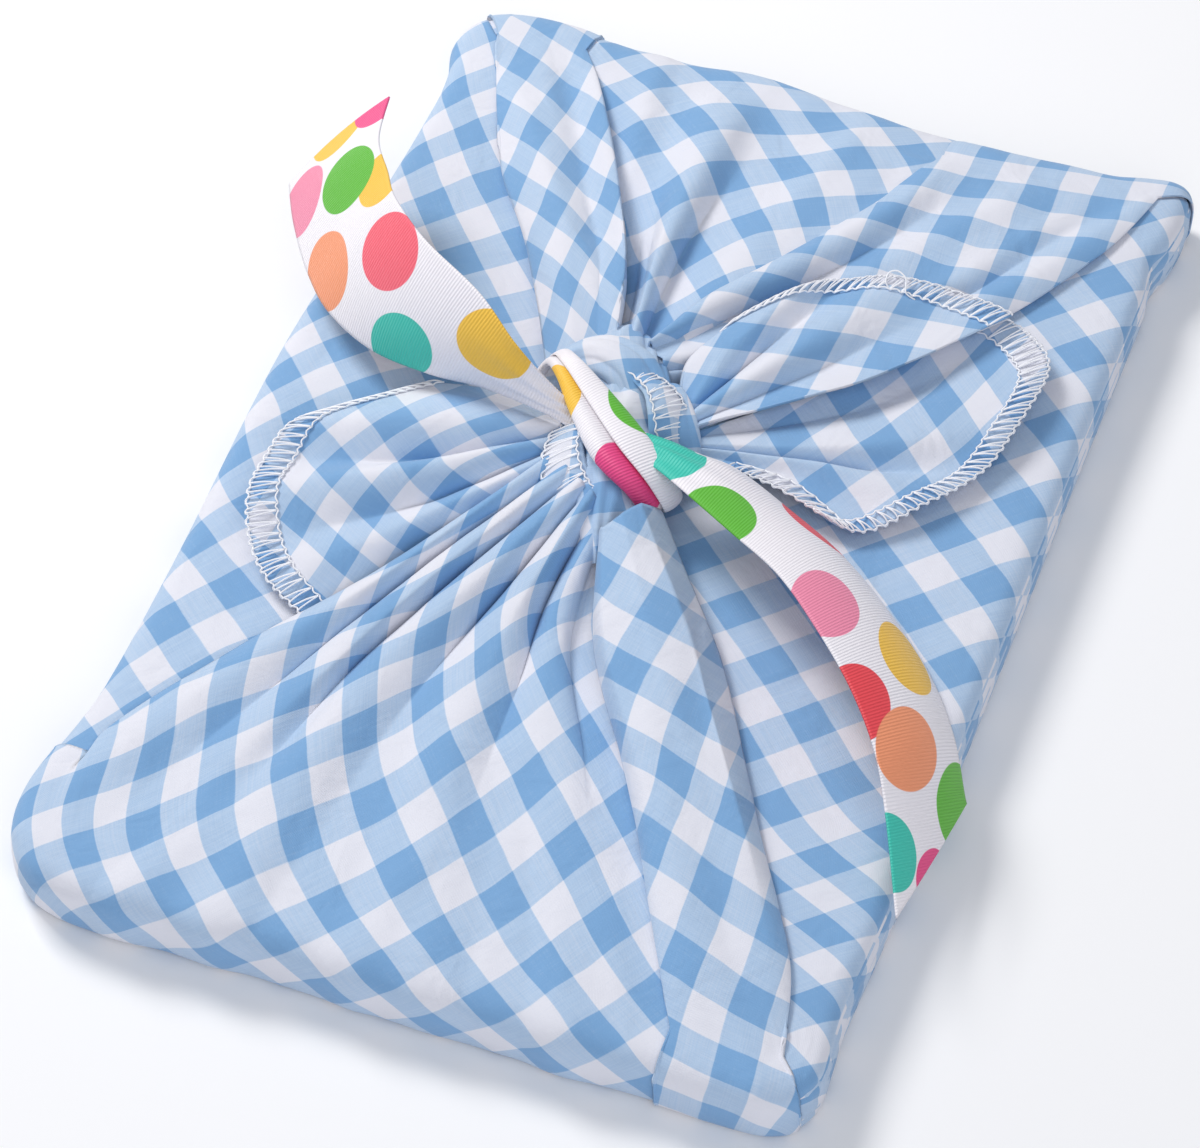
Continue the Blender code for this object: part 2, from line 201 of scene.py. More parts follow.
SIDE_SWELLS = [
    SideSwell(-99, -153, 6.2, 19), SideSwell(-99, 158, 3.4, 13), SideSwell(102, 158, 2.6, 12),
    SideSwell(-20, 158, 1.6, 70), SideSwell(60, 157, 1.2, 30), SideSwell(-105, 30, 1.3, 60),
    SideSwell(102, -135, -1.4, 16),
]

RIDGE, GUTTER, PLAIN = FoldKind.RIDGE, FoldKind.GUTTER, FoldKind.PLAIN

FAR_BAND_FOLDS = [
    Fold("hem_tuck", PLAIN, (-100.4, 157.2), (-83, 130, 0.3), (-69, 99, 0.3), (-51, 72, 0.6), (-25, 20, 1)),
    Fold("hem", PLAIN, (-101, 157), (-88.5, 130, 1.2), (-75, 99, 1.6), (-56.5, 72, 2.6), (-30, 21, 5)),
    Fold("crown", RIDGE, (-84, 160), (-73, 128, 4.4), (-59, 97, 6.8), (-43, 70, 9.2), (-23.5, 23, 11)),
    Fold("crown_dip", PLAIN, (-76, 160), (-64, 128, 3.8), (-49, 96, 5.8), (-34, 68, 8.6), (-19.5, 25, 11)),
    Fold("lip", RIDGE, (-68, 160), (-56, 128, 5.6), (-39.5, 96, 8.8), (-26.5, 67, 11.8), (-15.5, 26, 13)),
    Fold("lip_tuck", GUTTER, (-67.4, 160), (-55, 128, 1.4), (-38.5, 96, 2.4), (-26, 67, 4.4), (-15, 27, 9)),
]
FAR_FACE_FOLDS = [
    Fold("tuck", PLAIN, (-74, 160), (-62, 128, 0.5), (-45, 97, 0.8), (-31, 70, 1.6), (-18, 28, 5)),
    Fold("gutter", GUTTER, (-63, 160), (-52, 129, 1.2), (-36.5, 99, 1.8), (-25, 73, 3), (-16, 30, 7)),
    Fold("left_slope", PLAIN, (-45, 159), (-38, 129, 2.8), (-30, 100, 4.2), (-22.5, 73, 6.8),
         (-14.8, 29.5, 10)),
    Fold("straight_ridge", RIDGE, (-23, 160), (-22.5, 128, 6), (-21.5, 98, 9), (-19.5, 71, 12),
         (-13, 28.5, 13)),
    Fold("hollow", GUTTER, (-8, 158), (-12, 128, 1.2), (-15.5, 99, 2), (-16, 75, 4), (-12, 29, 9)),
    Fold("slope", PLAIN, (18, 156), (12, 127, 2.6), (1, 99, 4), (-7.5, 72, 6.4), (-10, 28, 10.5)),
    Fold("crease", RIDGE, (41, 157), (34, 124.5, 4), (20.5, 98, 6.2), (1, 66, 9.8), (-7.8, 25, 12)),
    Fold("crease_tuck", GUTTER, (49, 157), (41, 124, 1.6), (27, 97.5, 2), (6, 65.5, 3.5), (-6.8, 24, 8)),
]
FAR_RIGHT_FOLDS = [
    Fold("tuck", PLAIN, (34, 157), (27, 125, 2), (13, 99, 3.4), (-5, 67, 6), (-11, 41, 10)),
    Fold("crease", RIDGE, (40, 157), (34, 124.5, 5.6), (20.5, 98, 8.2), (1, 66, 12), (-9.8, 41, 15.5)),
    Fold("foot", GUTTER, (50, 157.5), (42, 124.5, 2.4), (27, 97.5, 3.2), (5.5, 65, 6), (-8.5, 40.5, 13)),
    Fold("face", PLAIN, (64, 158), (56, 126, 3.4), (39, 97, 4.6), (13, 64.5, 7), (-7, 39, 13)),
    Fold("fine_ridge", RIDGE, (80, 159), (68, 126, 4.2), (50, 94, 6), (19, 61, 8.6), (-5, 38, 13.5)),
    Fold("fine_gutter", GUTTER, (88, 160), (75, 125, 1.6), (55, 91, 2.2), (22, 57, 4), (-4, 36, 10)),
    Fold("hem_ridge", RIDGE, (97, 160), (83, 126, 3.4), (62, 92, 4.6), (28, 57, 6.4), (-3, 36, 11)),
    Fold("hem", PLAIN, (102.5, 156), (88, 124, 1.4), (67, 88, 1.6), (32, 52, 2.6), (-1, 34, 7)),
    Fold("hem_tuck", PLAIN, (102, 157), (83, 124, 0.2), (61, 89, 0.2), (27, 54, 0.8), (-4, 35, 3)),
]
NEAR_FACE_FOLDS = [
    Fold("hem_tuck", PLAIN, (-103.3, -123), (-88, -114, 0.3), (-70, -85, 0.3), (-45, -50, 1),
         (-17.5, -4, 6)),
    Fold("hem", PLAIN, (-103.5, -122), (-92.5, -112, 1.2), (-75, -82, 1.6), (-50, -46, 3.5),
         (-21.5, -2, 10)),
    Fold("border_ridge", RIDGE, (-103, -137), (-86, -119, 3.4), (-69, -87, 5.4), (-45, -49, 9),
         (-19, -4, 15.5)),
    Fold("border_gutter", GUTTER, (-95, -156), (-74, -120, 1.2), (-59, -85, 1.6), (-40, -44.5, 2.2),
         (-16.5, -6, 11)),
    Fold("second_ridge", RIDGE, (-76, -157), (-62, -117, 3.2), (-49, -82, 6.4), (-33, -45, 10.5),
         (-14, -7.5, 16.5)),
    Fold("second_gutter", GUTTER, (-62, -157), (-53, -113, 1.4), (-44, -76, 1.4), (-29.5, -41.5, 2.2),
         (-11.5, -9, 11)),
    Fold("third_ridge", RIDGE, (-46, -157), (-45, -112, 3.2), (-36, -74, 6.2), (-22.5, -43, 11),
         (-9, -10.5, 16.5)),
    Fold("third_gutter", GUTTER, (-28, -157), (-31, -109, 1.6), (-25, -69, 1.6), (-17, -40.5, 2.6),
         (-7, -11.5, 11)),
    Fold("fourth_ridge", RIDGE, (-9, -157), (-13, -108, 2.6), (-12, -72, 5.6), (-10.5, -45, 10.5),
         (-5, -13, 16.5)),
    Fold("fourth_gutter", GUTTER, (6, -157), (-1, -106, 1.2), (-4, -68, 1.6), (-6.5, -41, 2.4),
         (-3, -14, 11)),
    Fold("fifth_ridge", RIDGE, (26, -157), (14, -108, 2.6), (6, -75, 5), (-2.5, -47, 7.5), (-1, -15, 14)),
    Fold("band_shadow", GUTTER, (44, -157), (33, -113, 1.2), (18, -80, 1.6), (3, -49, 2), (1, -16, 11)),
    Fold("under_band", PLAIN, (73, -157), (57, -117, 0.6), (40, -85, 0.8), (16, -52, 1), (4.5, -16, 9)),
]
NEAR_BAND_FOLDS = [
    Fold("foot_tuck", PLAIN, (67, -157), (60, -118, 1.4), (42, -86, 1.6), (20, -54, 3), (4, -23, 10)),
    Fold("foot", GUTTER, (66, -157), (49, -116, 1.6), (31, -84, 2), (10, -51, 3.5), (0.5, -23.5, 12)),
    Fold("lip", RIDGE, (70, -157), (53, -119, 5.2), (36, -86, 9), (15, -55, 12.5), (2, -24, 17.5)),
    Fold("crown", RIDGE, (82, -157), (67, -118, 6.6), (50, -86, 10.8), (27, -54, 15), (5.5, -20, 20)),
    Fold("brow", PLAIN, (93, -156), (80, -119, 5.2), (62, -89, 9.4), (37, -51, 14), (8.5, -14, 18.5)),
    Fold("hem", PLAIN, (101, -153), (86, -120, 1.6), (67, -88, 2.2), (42, -45, 3.6), (11.5, -7.5, 10)),
    Fold("hem_tuck", PLAIN, (100.6, -153.3), (80, -119, 0.2), (61, -87, 0.2), (36, -45, 0.4), (8, -8, 4)),
]

NEAR_FACE_CHECKS = [
    Check(12.8, -108.9, 0, 0), Check(29.7, -125.8, 0, -1), Check(46.7, -142.3, 0, -2),
    Check(64.6, -155.5, 0, -3), Check(82.3, -163.6, 0, -4), Check(3.8, -127.8, -1, 0),
    Check(19.1, -144.3, -1, -1), Check(37.6, -157.2, -1, -2), Check(55.5, -165, -1, -3),
    Check(-7.3, -146.3, -2, 0), Check(10.3, -157.8, -2, -1), Check(28.8, -166.2, -2, -2),
    Check(-17.7, -157.8, -3, 0), Check(1.3, -166.2, -3, -1), Check(-26.2, -166.2, -4, 0),
    Check(-9.7, -112.7, -1, 1), Check(-22.7, -128.7, -2, 1), Check(-35.5, -143.7, -3, 1),
    Check(-44.5, -156.6, -4, 1), Check(-54.7, -164.5, -5, 1), Check(-2.2, -91, 0, 1),
    Check(7, -76, 1, 1), Check(13, -59, 2, 1), Check(22.5, -92, 1, 0), Check(38.8, -108.7, 1, -1),
    Check(54, -126, 1, -2), Check(-25, -95.7, -1, 2), Check(-37.6, -108.2, -2, 2),
    Check(-49, -124.1, -3, 2), Check(-61.3, -142, -4, 2), Check(-72.2, -153.8, -5, 2),
    Check(-82.8, -160.8, -6, 2), Check(-14.8, -78.5, 0, 2), Check(-6.5, -58.5, 1, 2),
    Check(1.5, -48, 2, 2), Check(-33.3, -72, -1, 3), Check(-44.5, -93, -2, 3),
    Check(-56.3, -107.8, -3, 3), Check(-72, -120.3, -4, 3), Check(-84.3, -136.6, -5, 3),
    Check(-96.5, -147.4, -6, 3), Check(-20.8, -60.5, 0, 3), Check(-15, -44.5, 1, 3),
    Check(-38.8, -61.3, -1, 4), Check(-51.3, -71.3, -2, 4), Check(-63.8, -83.3, -3, 4),
    Check(-80, -97, -4, 4), Check(-84.7, -114.9, -5, 4), Check(-98, -126.6, -6, 4),
    Check(-25.3, -38.6, 0, 4), Check(-16, -27, 1, 4), Check(-38, -38.5, -1, 5),
    Check(-51, -53, -2, 5), Check(-24.5, -13, 0, 5),
]
NEAR_BAND_CHECKS = [
    Check(29.8, -44.3, 0, 0), Check(28.8, -64.6, 0, -1), Check(35.8, -84, 0, -2),
    Check(9.6, -40.4, -1, 0), Check(11.8, -17, -1, 1), Check(33, -25, 0, 1),
    Check(48.8, -70.4, 1, -1), Check(50.4, -91, 1, -2), Check(52.9, -113.8, 1, -3),
    Check(68.8, -97, 2, -2), Check(72.1, -119.9, 2, -3), Check(72.3, -142.8, 2, -4),
    Check(90.5, -126, 3, -3), Check(92.9, -146.2, 3, -4), Check(96.7, -159.7, 3, -5),
]
FAR_BAND_CHECKS = [
    Check(-74.5, 144.3, 0, 0), Check(-91.1, 149.5, -1, 0), Check(-77.3, 124.3, 0, -1),
    Check(-60.7, 118.5, 1, -1), Check(-63.3, 99.3, 1, -2), Check(-61.5, 138, 1, 0),
    Check(-49.5, 109, 2, -1), Check(-47, 92.5, 2, -2), Check(-36.7, 86.5, 3, -2),
    Check(-47.3, 74.4, 2, -3), Check(-36, 66, 3, -3), Check(-24.6, 57.3, 4, -3),
    Check(-32.1, 50.7, 3, -4),
]
FAR_FACE_CHECKS = [
    Check(-15.8, 103, 0, 0), Check(-1.3, 115, 1, 0), Check(13.8, 126.8, 2, 0),
    Check(28.8, 133.1, 3, 0), Check(43.4, 143.7, 4, 0), Check(56.8, 146.7, 5, 0),
    Check(-14.5, 130.2, 1, 1), Check(1.3, 136.2, 2, 1), Check(16.6, 145.8, 3, 1),
    Check(-12, 150.8, 2, 2), Check(5, 154, 3, 2), Check(-3.5, 90, 0, -1),
    Check(9.7, 100.2, 1, -1), Check(21, 107, 2, -1), Check(-30.8, 119.5, 0, 1),
    Check(-34.7, 147.7, 1, 2), Check(-45.9, 135.3, 0, 2), Check(-58.6, 143.5, 0, 3),
    Check(-49, 153.5, 1, 3), Check(-38, 107.7, -1, 1), Check(-14.2, 74, -1, -1),
    Check(-27, 83.5, -1, 0),
]
FAR_RIGHT_CHECKS = [
    Check(38.4, 128.5, 4, -1), Check(56.8, 130.3, 5, -1), Check(76.2, 133.7, 6, -1),
    Check(43.4, 143.7, 4, 0), Check(56.8, 146.7, 5, 0), Check(75.5, 148.9, 6, 0),
    Check(93.5, 152.8, 7, 0), Check(38.6, 111.3, 4, -2), Check(58.3, 111.4, 5, -2),
    Check(22, 93, 3, -3), Check(0, 70, 2, -4),
]
LEFT_LAYER_CHECKS = [
    Check(-81.5, -76, 0, 0), Check(-96.5, -64.1, 0, 1), Check(-86.7, -48.7, 1, 1),
    Check(-92.3, -93, -1, 0), Check(-67, -61, 1, 0), Check(-100, -107.3, -2, 0),
    Check(-101.7, -36.8, 1, 2), Check(-91, -20, 2, 2), Check(-100.5, -4.5, 2, 3),
    Check(-90.2, 11.1, 3, 3), Check(-101, 21.5, 3, 4), Check(-76, 25, 4, 3),
    Check(-43.5, 46.8, 6, 3), Check(-57.3, 61.5, 6, 4), Check(-73, 78, 6, 5),
    Check(-87.6, 95, 6, 6), Check(-97.5, 109, 6, 7), Check(-88.4, 121.8, 7, 7),
    Check(-96.5, 137, 7, 8),
]
RIGHT_LAYER_CHECKS = [
    Check(67, -64.2, 0, 0), Check(81, -49.9, 1, 0), Check(52.7, -50.2, 0, 1),
    Check(93.2, 104.5, 7, 5), Check(81.3, -78.2, 0, -1), Check(93.6, -117.1, -2, -3),
]
LEFT_TAIL_CHECKS = [
    Check(-50.8, 8.4, 0, 0), Check(-63.3, -11.4, -1, 0), Check(-69.3, -30.4, -2, 0),
    Check(-66.5, -48.5, -3, 0), Check(-51.3, -25, -1, 1), Check(-38.3, 18, 1, 0),
    Check(-64.8, 3.1, -0.5, -0.5), Check(-74.8, -17.9, -1.5, -0.5), Check(-60.6, -24, -1.5, 0.5),
    Check(-51.8, -3.4, -0.5, 0.5), Check(-49.3, -14.4, -0.5, 1), Check(-43.3, -13.9, -0.5, 1.5),
    Check(-49.8, -5.4, 0, 1), Check(-37.8, -6, 0, 2), Check(-35.3, -13, -0.5, 2),
    Check(-43.3, -25, -1, 1.5), Check(-36.3, -23, -1, 2),
]
RIGHT_TAIL_CHECKS = [
    Check(37.3, 79, 0, 0), Check(57, 80.5, 1, 0), Check(18.5, 72.5, -1, 0), Check(36.5, 56, 0, -1),
    Check(26.7, 68.7, -0.5, -0.5), Check(25.8, 45.3, -0.5, -1.5),
]
RIGHT_UNDER_CHECKS = [
    Check(53.5, 56.5, 0, 0), Check(41.5, 37.5, -1, 0), Check(68, 42, 0, -1), Check(57, 25.5, -1, -1),
    Check(74.5, 63, 1, -1), Check(80, 82, 2, -1), Check(62, 77, 1, 0),
]

LEFT_TAIL_RIBS = [
    Rib("back_edge", PLAIN, (-22, 11, 28), (-43, 17, 26), (-61, 15.5, 24)),
    Rib("back_fold", PLAIN, (-21.5, 8, 32), (-50, 9, 30), (-80, -3, 26)),
    Rib("crown", RIDGE, (-21, 5.5, 34), (-52, -1, 32.4), (-88, -14, 28)),
    Rib("shade", GUTTER, (-20.5, 4, 28), (-51, -10, 24.4), (-89.5, -26, 27)),
    Rib("second_crown", RIDGE, (-19.5, 2.5, 34), (-52, -18, 31), (-89, -38, 27)),
    Rib("dip", GUTTER, (-19, 1, 29), (-48, -24, 23.6), (-83, -51, 24.6)),
    Rib("front_fold", RIDGE, (-18.5, -1.5, 33), (-45.5, -30, 27), (-74, -60, 23)),
    Rib("front_edge", PLAIN, (-18, -4, 30), (-42.5, -34, 21.6), (-62, -65.5, 20.2)),
]
RIGHT_TAIL_RIBS = [
    Rib("under_turn", PLAIN, (6, 22, 26), (7, 38, 28), (15, 55, 28)),
    Rib("turned_edge", RIDGE, (4, 25, 28), (1, 39, 31.5), (7, 56, 31)),
    Rib("back_fold", RIDGE, (6, 24, 30), (11, 48, 34), (20, 76, 31)),
    Rib("back_dip", GUTTER, (7, 23, 28), (17, 50, 28.6), (30, 86, 27)),
    Rib("back_crown", RIDGE, (8, 22, 32), (27, 52, 35.4), (43, 90.5, 28.4)),
    Rib("back_slope", GUTTER, (9, 21, 29.5), (36, 54, 29.6), (60, 92.5, 26)),
    Rib("lip", RIDGE, (10.5, 19.5, 31), (47, 50, 31.8), (74, 90, 26.6)),
    Rib("lip_tuck", PLAIN, (9, 20, 28), (41, 53, 26.8), (68, 91, 24.4)),
]
RIGHT_UNDER_RIBS = [
    Rib("hidden", PLAIN, (9, 20, 27.4), (38, 52, 25.2), (66, 91, 23.6)),
    Rib("crease", GUTTER, (11, 19, 27), (47, 47, 23.4), (78, 88.5, 23)),
    Rib("corner", RIDGE, (12, 18, 28.2), (52, 41, 26), (88, 77, 25)),
    Rib("side", RIDGE, (13, 17.3, 27.8), (52, 33, 27), (86.5, 56, 25)),
    Rib("side_dip", GUTTER, (13, 16.6, 25.6), (49, 27, 22), (82, 38, 22.8)),
    Rib("front_slope", RIDGE, (13, 16, 27.6), (46, 23, 27), (72, 22, 24)),
    Rib("point", PLAIN, (13, 15, 26), (39, 17.4, 24.4), (60, 9.4, 22)),
    Rib("front_edge", RIDGE, (13, 13.5, 26), (33, 12.6, 26.2), (50, 8.6, 24.4)),
    Rib("front_turn", PLAIN, (11, 15.4, 24), (31, 16.4, 23.4), (46, 13, 22.6)),
]

NEAR_FACE_CREASES = [
    Crease((215, 905), (330, 745), 22, 1.7, 8), Crease((285, 915), (385, 760), 22, -1.5, 7),
    Crease((430, 930), (455, 770), 22, 1.6, 8), Crease((500, 980), (520, 800), 22, -1.4, 7),
    Crease((560, 1010), (572, 800), 22, 1.5, 8), Crease((95, 850), (175, 790), 22, -1.4, 5),
    Crease((130, 880), (240, 800), 22, 1.3, 6), Crease((350, 960), (400, 880), 22, 1.2, 6),
    Crease((615, 950), (600, 860), 22, 1.0, 5),
]
NEAR_BAND_CREASES = [
    Crease((650, 740), (690, 960), 24, 1.2, 5), Crease((700, 720), (735, 1000), 24, -0.9, 5),
    Crease((715, 960), (760, 1085), 22, 1.0, 4),
]
FAR_FACE_CREASES = [
    Crease((850, 135), (735, 260), 24, 1.2, 6), Crease((905, 170), (790, 262), 24, -1.5, 6),
    Crease((680, 90), (650, 200), 24, -1.2, 6), Crease((655, 70), (632, 150), 24, 1.2, 5),
]
FAR_RIGHT_CREASES = [
    Crease((1000, 200), (880, 262), 24, 1.2, 5), Crease((1060, 200), (930, 275), 24, -1.2, 5),
]
FAR_BAND_CREASES = [
    Crease((520, 100), (590, 290), 24, 1.1, 4), Crease((560, 60), (606, 240), 24, -1.1, 4),
    Crease((515, 190), (560, 290), 24, 0.8, 4),
]

KNOT_CORE = [
    KnotSection(-18, 49, 23, 8, 8), KnotSection(-17, 42, 26, 18, 13),
    KnotSection(-14, 32, 27, 24, 19), KnotSection(-10, 20, 27, 28, 19),
    KnotSection(-7, 6, 27, 28, 19), KnotSection(-3, -8, 26.5, 23, 17),
    KnotSection(0, -20, 26, 15, 13), KnotSection(2, -28, 24, 7, 7),
]
KNOT_HUMP = [
    KnotSection(-32, 24, 22, 8, 8), KnotSection(-27, 28, 30.5, 11, 9),
    KnotSection(-19, 30, 35.5, 13, 9), KnotSection(-10, 28, 35.5, 14, 9),
    KnotSection(-3, 22, 31.5, 13, 8), KnotSection(2, 15, 24, 10, 7),
]
KNOT_COLLAR = [
    KnotSection(-4, 30, 24, 6, 5), KnotSection(0, 27, 32, 8, 6),
    KnotSection(6, 20, 31, 9, 6), KnotSection(10, 14, 26, 8, 6), KnotSection(10, 8, 21, 6, 5),
]
KNOT_PATCH = [
    KnotSection(-21, -3, 25, 6, 6), KnotSection(-17, -3, 31, 10, 7),
    KnotSection(-11, -5, 32, 10, 6), KnotSection(-6, -10, 28, 7, 6),
]

KNOT_HEM_LINES = [
    StripLine((-8, 28, 37), (-10, 24, 38)), StripLine((-1, 27, 36.6), (-4, 20, 38.4)),
    StripLine((4.5, 24.5, 35), (-1, 15.5, 37.4)), StripLine((8, 21, 32), (1, 11.5, 35.4)),
    StripLine((10, 17, 29), (3, 8, 32)), StripLine((11, 12.5, 26), (4.5, 4.5, 28.5)),
]
PATCH_HEM_LINES = [
    StripLine((-22, 3, 33.6), (-13, 6, 38)), StripLine((-21.5, -4.5, 33), (-12.5, 0, 37)),
    StripLine((-19, -11, 31.6), (-10, -4.5, 35.4)), StripLine((-13.5, -15, 30.4), (-6.5, -8.5, 33.6)),
    StripLine((-7, -16.5, 29.6), (-2.5, -10.5, 32)),
]

LOOSE_THREAD = [
    (42.9, 84.5, 28.5), (40.2, 85.8, 30), (40, 88.6, 31), (42.1, 89.7, 31.5),
    (44.9, 88.2, 31), (46.1, 84.8, 29.5), (48.8, 84.6, 28),
]

RIBBON_LEFT = [
    RibbonSection("end", (-124, 67, 25), (-101, 85, 50), 1.5, 0),
    RibbonSection("curl", (-117, 54, 25), (-96, 66, 54), 2, 0),
    RibbonSection("lean", (-106, 38, 26), (-88, 53, 57), 2, 0),
    RibbonSection("flare", (-94, 25, 28), (-81, 42, 60), 2, 0),
    RibbonSection("spread", (-78, 16, 29), (-67, 29, 62), 2.5, 0),
    RibbonSection("rise", (-60, 12, 31), (-48, 18, 61), 3, 0),
    RibbonSection("fan", (-44, 11, 33), (-35, 10, 55), 2, 0.2),
    RibbonSection("pinch", (-27, 7, 35.5), (-25, 9, 45), 1.5, 0.4),
    RibbonSection("tuck", (-18, 4, 35.8), (-17.5, 10, 37.6), 0.5, 0.1),
    RibbonSection("under", (-9, 1, 35.6), (-7, 8, 35.6), 0, 0.1),
]
RIBBON_RIGHT = [
    RibbonSection("under", (-3, 1, 37), (0, 8, 37.6), 1.0, 0.2),
    RibbonSection("tuck", (5, -2, 38.4), (8, 8.5, 36.4), 2.5, 0.3),
    RibbonSection("pinch", (12, -6, 40), (15.5, 9, 34), 3, 0.3),
    RibbonSection("fan", (22, -12, 41.5), (25, 11, 30), 3.5, 0.2),
    RibbonSection("arch", (35, -20, 43.5), (40, 7, 26), 4, 0),
    RibbonSection("lean", (50, -29, 44.5), (58, -1, 23), 5, 0),
    RibbonSection("slope", (64, -41, 44), (75, -13, 21.5), 5, 0),
    RibbonSection("fall", (77, -53, 41), (90, -27, 20.5), 4, 0),
    RibbonSection("edge", (87.5, -65, 36), (101, -41, 18), 3, 0),
    RibbonSection("end", (95, -77.5, 30), (108.5, -54, 13), 1.5, 0),
    RibbonSection("cut", (106.2, -101.5, 23), (109.6, -55.5, 12), 0.5, 0),
]
RIBBON_WRAP = [
    RibbonSection("under_middle", (-13, 5, 22.0), (-8, 15, 22.0), 0, 3.0),
    RibbonSection("under_left", (-27, 13, 22.5), (-23, 22, 22.5), 0, 3.0),
    RibbonSection("left_foot", (-36, 20, 25), (-31, 29, 25), 0, 2.6),
    RibbonSection("left_turn", (-33, 24, 34), (-29, 29.5, 34.6), 0, 2.4),
    RibbonSection("left_shoulder", (-26.5, 16, 40.6), (-22.5, 22, 42.5), 0.5, 2.4),
    RibbonSection("top_left", (-17.5, 4.5, 41.8), (-11, 14.5, 42.2), 1, 2.4),
    RibbonSection("top_right", (-7, -6.5, 41.0), (2.5, 5, 41.0), 1, 2.4),
    RibbonSection("right_shoulder", (3.5, -11, 36.5), (12, -1, 36), 0.5, 2.2),
    RibbonSection("right_foot", (9, -11, 28), (15, -1, 28), 0, 2.4),
    RibbonSection("under_right", (3, -4, 22.5), (9, 6, 22.5), 0, 3.0),
]

WRAP_PROFILE = [
    (0.3, -3.5), (0.08, -3.3), (-0.02, -1.6), (0.07, 0.1), (0.25, 0.8), (0.45, -0.4), (0.66, -1.7),
    (0.7, -1.3), (0.5, 0.2), (0.42, 0.9), (0.55, 1.5), (0.8, 1.3), (0.98, 0.2), (1.03, -1.4),
    (0.93, -2.8), (0.7, -3.3),
]

LEFT_DOTS = [
    Dot(26.2, 100.6, "yellow"), Dot(7, 77.8, "teal"), Dot(27.9, 60.5, "coral"), Dot(38, 36, "yellow"),
    Dot(7.3, 42.4, "peach"), Dot(25.4, 23.8, "green"), Dot(5.5, 13.7, "rose"),
    Dot(21, -2.5, "yellow"), Dot(37, -1.5, "magenta"),
]
RIGHT_DOTS = [
    Dot(17.5, 10.5, "teal"), Dot(5, 33.7, "green"), Dot(34, 51, "red"), Dot(6.2, 74.2, "rose"),
    Dot(25, 94.9, "yellow"), Dot(0.5, 103, "red"), Dot(13, 118, "peach"), Dot(32, 133, "green"),
    Dot(0, 142, "teal"), Dot(18, 154, "magenta"),
]
WRAP_DOTS = [
    Dot(6, 55, "yellow"), Dot(11.5, 90, "magenta"), Dot(37, 72, "green"), Dot(25, 119, "red"),
]


def catmull(points: np.ndarray, positions: np.ndarray, closed: bool = False) -> np.ndarray:
    """Return points on a smooth curve.

    Args:
        points: the curve's points, one per row of the first axis; more axes may follow.
        positions: where on the curve, in steps between points.
        closed: whether the last point joins the first.

    Returns:
        One point for each position.
    """
    count = len(points)
    start = np.floor(positions).astype(int)
    if not closed:
        start = np.clip(start, 0, count - 2)
    t = (positions - start).reshape((-1,) + (1,) * (points.ndim - 1))
    if closed:
        before, here, there, after = (points[(start + k) % count] for k in (-1, 0, 1, 2))
    else:
        before, here, there, after = (
            points[np.clip(start + k, 0, count - 1)] for k in (-1, 0, 1, 2))
    return (
        here
        + (there - before) * (0.5 * t)
        + (before * 2 - here * 5 + there * 4 - after) * (0.5 * t * t)
        + (here * 3 - before - there * 3 + after) * (0.5 * t * t * t)
    )


def arc_lengths(points: np.ndarray) -> np.ndarray:
    """Return the length of a polyline up to each of its points."""
    steps = np.linalg.norm(np.diff(points, axis=0), axis=-1)
    return np.concatenate([[0.0], np.cumsum(steps)])


def smooth_noise(x: float, y: float, z: float, seed: float) -> float:
    """Find soft noise at a place.

    Args:
        x: the place, scaled to the size of the lumps.
        y: as x.
        z: as x.
        seed: moves the noise.

    Returns:
        A value from -1 to 1.
    """
    return noise.noise(Vector((x + seed * 31.7, y - seed * 17.3, z + seed * 5.1)))


def grid_normals(grid: np.ndarray) -> np.ndarray:
    """Find the directions in which a grid faces.

    Args:
        grid: points (row, column, xyz).

    Returns:
        Unit normals, one for each point.
    """
    down = np.gradient(grid, axis=0)
    across = np.gradient(grid, axis=1)
    normals = np.cross(down, across)
    size = np.linalg.norm(normals, axis=2, keepdims=True)
    return normals / np.maximum(size, 1e-9)


class CheckChart:
    """A smooth map from places on the wrapped parcel to millimetres of flat cloth."""

    def __init__(self, checks: Sequence[Check], softness: float = 4.0) -> None:
        """Fit a thin plate through the checks' middles.

        Args:
            checks: white checks read off.
            softness: how far the plate may miss them, to even out reading errors.
        """
        self.places = np.array([[c.x, c.y] for c in checks], dtype=float)
        targets = np.array([[c.column, c.row] for c in checks], dtype=float) * CHECK_REPEAT
        count = len(checks)
        system = np.zeros((count + 3, count + 3))
        system[:count, :count] = self.bend(self.places) + np.eye(count) * softness
        system[:count, count] = 1.0
        system[:count, count + 1:] = self.places
        system[count:, :count] = system[:count, count:].T
        self.weights = np.linalg.solve(system, np.vstack([targets, np.zeros((3, 2))]))

    def bend(self, places: np.ndarray) -> np.ndarray:
        """Find the plate's bending terms.

        Args:
            places: chart places in millimetres.

        Returns:
            One term for each place and each of the chart's checks.
        """
        squares = ((places[:, None, :] - self.places[None, :, :]) ** 2).sum(axis=2)
        return 0.5 * squares * np.log(np.maximum(squares, 1e-9)) * 0.01

    def flat(self, places: np.ndarray) -> np.ndarray:
        """Find where chart places lie on the flat cloth.

        Args:
            places: chart places in millimetres.

        Returns:
            Flat-cloth coordinates in millimetres, in an array of the same shape.
        """
        shape = places.shape[:-1]
        listed = places.reshape(-1, 2)
        terms = np.hstack([self.bend(listed), np.ones((len(listed), 1)), listed])
        return (terms @ self.weights).reshape(shape + (2,))


def chart_place(points: np.ndarray) -> np.ndarray:
    """Find where points show on the chart's plane, seen as the charts were read.

    Args:
        points: points in millimetres.

    Returns:
        Their x and y on a plane 20 mm up.
    """
    rise = points[..., 2] - CHART_PLANE
    return np.stack([points[..., 0] - LEAN_X * rise, points[..., 1] + LEAN_Y * rise], axis=-1)


